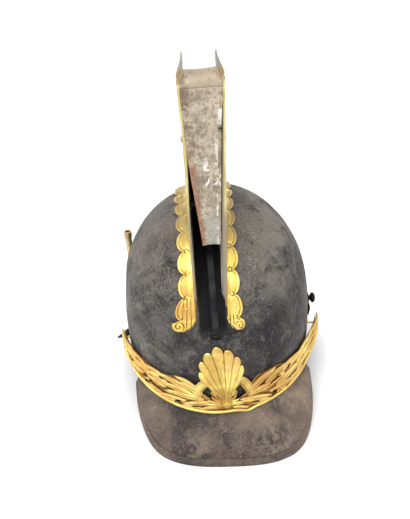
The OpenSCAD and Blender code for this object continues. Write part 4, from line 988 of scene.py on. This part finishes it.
def fan_stand(x, level, rise):
    share = level_share(level - WIDEST)
    y = -SKULL_B * sqrt(max(0.0, share * share - (x / SKULL_A) ** 2))
    lift = smooth((level - RIM - 6 - 36) / 20)
    return off_skull(Vector((x, y, level)), mix(5.3, 0.35, lift) + rise)


def fan_surface(u, v):
    lobe = min(int(u * FAN_LOBES), FAN_LOBES - 1)
    q = -cos(pi * (u * FAN_LOBES - lobe))
    share = (lobe + (q + 1) / 2) / FAN_LOBES
    angle = mix(-FAN_SPREAD, FAN_SPREAD, share)
    round_end = arc(q)
    reach = FAN_REACH * mix(1, 0.5, (abs(angle) / FAN_SPREAD) ** 1.3)
    outer = reach * mix(0.85, 1, round_end)
    flute = round_end ** 0.7 * (0.5 + 1.9 * sin(pi * min(1, v * 0.62)))
    flute *= 1 - 0.55 * smooth((v - 0.88) / 0.12)
    vein = 0.35 * hump(q, 0, 0.14) * smooth((0.85 - v) * 4)
    lean, aside = radians(angle + FAN_LEAN), 2 * share - 1
    tip = Vector((-0.5 + outer * sin(lean), FAN_LEVEL + outer * cos(lean)))
    neck, waist = Vector((-0.3 + 3.2 * aside, 52)), Vector((-1.2 + 7.0 * aside, 74 - 2 * abs(aside)))
    x, level = neck.lerp(waist, v).lerp(waist.lerp(tip, v), v)
    return fan_stand(x, level, 0.8 + flute - vein)


def stem_surface(u, v):
    level, q = mix(46, 72, u), 2 * v - 1
    half = mix(4.6, 3.2, u) + 1.2 * hump(u, 0.0, 0.25)
    return fan_stand(q * half - 0.3 * u, level, 0.9 + 1.1 * (1 - q * q) * (0.7 + 0.3 * cos(q * 9)))


bm = bmesh.new()
shaped_grid(bm, FAN_LOBES * 18, 34, fan_surface)
shaped_grid(bm, 20, 12, stem_surface)
piece("palmette_fan", bm, gilt_brass, ("palmette",), wall=0.8, merge=False, flip=INSIDE)


# Fasteners and fittings that are turned or cast: rivets, screws, nuts, washers, the plume socket with its
# bracket, the chin strap's stud, staple and loop, and the iron strap, pins and spacers inside the comb.
black_iron = grey_iron("black_iron", (24, 24, 28), (60, 58, 58), (70, 55, 48), metal=0.85)
nut_iron = grey_iron("nut_iron")
socket_brass = gilding("socket_brass", (226, 204, 160), (196, 170, 128), (160, 132, 96), (92, 70, 46),
                        gloss=0.38)
FITTINGS = (
    (gilt_brass, ("comb_flange_screws", "rosette_rivet", "band_rivets", "band_rivet_washers")),
    (comb_brass, ("comb_cross_pins",)),
    (socket_brass, ("plume_socket", "plume_bracket", "plume_screws")),
    # The strap, chin stud and loop are black iron; the comb spacers are given it as painted shade, to sit
    # dark in the shaded gap between the plates.
    (black_iron, ("comb_strap", "chin_stud_right", "chin_stud_washer", "strap_loop_left", "loop_staple_left",
                  "comb_spacers")),
    (nut_iron, ("comb_flange_nuts", "plume_nuts", "chin_stud_nut")))
for finish, names in FITTINGS:
    for name in names:
        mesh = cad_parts[name].data
        mesh.materials.clear()
        mesh.materials.append(finish)


# Chin strap's torn end: a stub of cracked leather that is still caught under the band beside the right stud.
# Its upper edge is ragged where the strap tore.
def tab_surface(u, v):
    ragged = 2.0 * uneven(v * 4.2, 1.0, 7.0) + 1.1 * uneven(v * 11, 3.0, 2.0)
    level = mix(RIM + 30.5, 75.6 + ragged * smooth(u * 3), u)
    angle = mix(-5, 3, v) + u * 3
    crumple = 0.5 * uneven(u * 5, v * 5, 0.0)
    return off_skull(skull_at(angle, level), 0.4 + 2.2 * sin(pi * u) + crumple + 0.8)


tab_leather = brown_leather("strap_leather", (34, 31, 31), (58, 52, 50), (98, 86, 76))
piece("strap_stub", laid(22, 16, tab_surface), tab_leather, ("strap_tab_right",), wall=1.4,
      offset=0.0, flip=INSIDE)


# Lining: a sweatband of brown sheepskin inside the rim, eight soft tongues above it, and a cord that is laced
# through their tips and draws them together over the crown of the head.
LINING_STAND = SKULL_WALL + 0.45 + 0.8 + 0.4 + 0.7 + 0.1
TONGUE_TOP, TONGUE_STAND, TONGUES, DRAWN_IN = WIDEST + CROWN * 0.72, LINING_STAND + 0.35 + 1.4, 8, 6


def sweatband_surface(u, v):
    wave = 0.25 * sin(44 * pi * u) * smooth(v * 2)
    stand = -LINING_STAND - 0.35 - 0.3 * wave - 0.5 * sin(pi * v)
    return off_skull(skull_at(360 * u, RIM + mix(1.0, 30.0, v)), stand)


def tongue_surface(number, u, v):
    level, aside = mix(RIM + 18, TONGUE_TOP, v), 2 * u - 1
    half = 18 * mix(1, 0.72, v) * (1 - 0.12 * smooth((v - 0.93) / 0.07) * aside ** 2)
    crease = 0.5 * sin(5 * pi * u) * smooth((v - 0.5) * 2) + 0.6 * uneven(u * 3, v * 4, number * 5.0)
    stand = -TONGUE_STAND - DRAWN_IN * smooth(v) - 0.5 - 0.35 * crease
    return off_skull(skull_at((number + 0.4) * 360 / TONGUES + half * aside, level), stand)


def cord_surface(u, v):
    def middle(share):
        stand = TONGUE_STAND + DRAWN_IN + 1 + 0.35 + 1.2 + 0.25 * sin(48 * pi * share)
        return off_skull(skull_at(360 * share, TONGUE_TOP - 2.5), -stand)
    centre = middle(u)
    ahead = (middle(u + 0.002) - middle(u - 0.002)).normalized()
    level_out = Vector((centre.x, centre.y, 0)).normalized()
    turn = 2 * pi * v
    round_by = 1.1 + 0.1 * cos(3 * turn + 240 * pi * u)
    return centre + round_by * (cos(turn) * level_out + sin(turn) * ahead.cross(level_out))


sheepskin = bare_leather("sheepskin", (112, 80, 56), (158, 122, 88))
piece("sweatband_leather", laid(220, 14, sweatband_surface), sheepskin, ("sweatband",),
      wall=1.0, offset=0.0, flip=INSIDE)
tongues = laid(18, 44, *(partial(tongue_surface, number) for number in range(TONGUES)))
piece("lining_tongue_leather", tongues, sheepskin, ("lining_tongues",), wall=0.8,
      offset=0.0, merge=False, flip=INSIDE)
linen = Finish("linen_cord")
twist = linen.noise(400, 4, 0.6)
linen.base((150, 136, 110), (196, 184, 158), twist.band(0.35, 0.65))
linen_cord = linen.wear(Base_Color=linen.colour, Roughness=0.85 + 0.1 * twist)
piece("lining_cord_ring", laid(480, 12, cord_surface), linen_cord, ("draw_cord_ring",))


# Studio: a white floor that keeps the helmet's soft shadow, a white surround, and one broad light above the
# front with two weaker ones at the sides.
bpy.context.scene.view_settings.view_transform = "Standard"
surround = bpy.data.worlds.new("surround")
surround.use_nodes = True
bpy.context.scene.world = surround
sky = Board(surround.node_tree)
camera, glossy, passing = (sky.node("ShaderNodeLightPath", {}, {}, "Is %s Ray" % kind)
                           for kind in ("Camera", "Glossy", "Transmission"))
seen = sky.math("MAXIMUM", camera, sky.math("MAXIMUM", glossy, passing))
lit = sky.node("ShaderNodeBackground", {}, {"Color": (0.97, 0.98, 1.0, 1), "Strength": 0.62})
shown = sky.node("ShaderNodeBackground", {}, {"Color": (1, 1, 1, 1)})
chosen = sky.node("ShaderNodeMixShader", {}, {0: seen, 1: lit, 2: shown})
sky.put(sky.tree.nodes["World Output"].inputs["Surface"], chosen)

white_floor = Finish("white_floor", Base_Color=(0.93, 0.93, 0.93, 1), Roughness=1.0, Specular_IOR_Level=0.0)
ray = white_floor.node("ShaderNodeLightPath", {}, {}, "Is Camera Ray")
reach = white_floor.node("ShaderNodeVectorMath", {"operation": "LENGTH"}, {0: white_floor.place}, "Value")
shine = 0.3 * reach.band(0.1, 0.15) + 0.16 * reach.band(0.5, 1.4)
glow = white_floor.node("ShaderNodeEmission", {}, {"Color": shine, "Strength": 1.0})
none = white_floor.node("ShaderNodeEmission", {}, {"Color": (0, 0, 0, 1), "Strength": 0.0})
lift = white_floor.node("ShaderNodeMixShader", {}, {0: ray, 1: none, 2: glow})
plain = Reading(white_floor, white_floor.shader.outputs[0])
both = white_floor.node("ShaderNodeAddShader", {}, {0: plain, 1: lift})
white_floor.put(white_floor.tree.nodes["Material Output"].inputs["Surface"], both)
bm = bmesh.new()
bmesh.ops.create_grid(bm, x_segments=1, y_segments=1, size=14)
floor_mesh = bpy.data.meshes.new("floor")
bm.to_mesh(floor_mesh)
bm.free()
floor_mesh.materials.append(white_floor.material)
placed("floor", floor_mesh)

LAMPS = (("over_front", (-0.25, -0.9, 1.5), 1.1, 17.0), ("left", (-1.5, -0.2, 0.8), 0.9, 5.5),
         ("right", (1.5, -0.5, 0.9), 0.9, 4.0), ("behind", (0.1, 1.5, 1.0), 1.0, 5.0))
for name, place, size, power in LAMPS:
    panel = bpy.data.lights.new(name, "AREA")
    panel.shape, panel.size, panel.energy = "DISK", size, power
    turned = (Vector((0, 0, 0.15)) - Vector(place)).to_track_quat("-Z", "Y").to_matrix().to_4x4()
    placed(name, panel).matrix_world = Matrix.Translation(place) @ turned
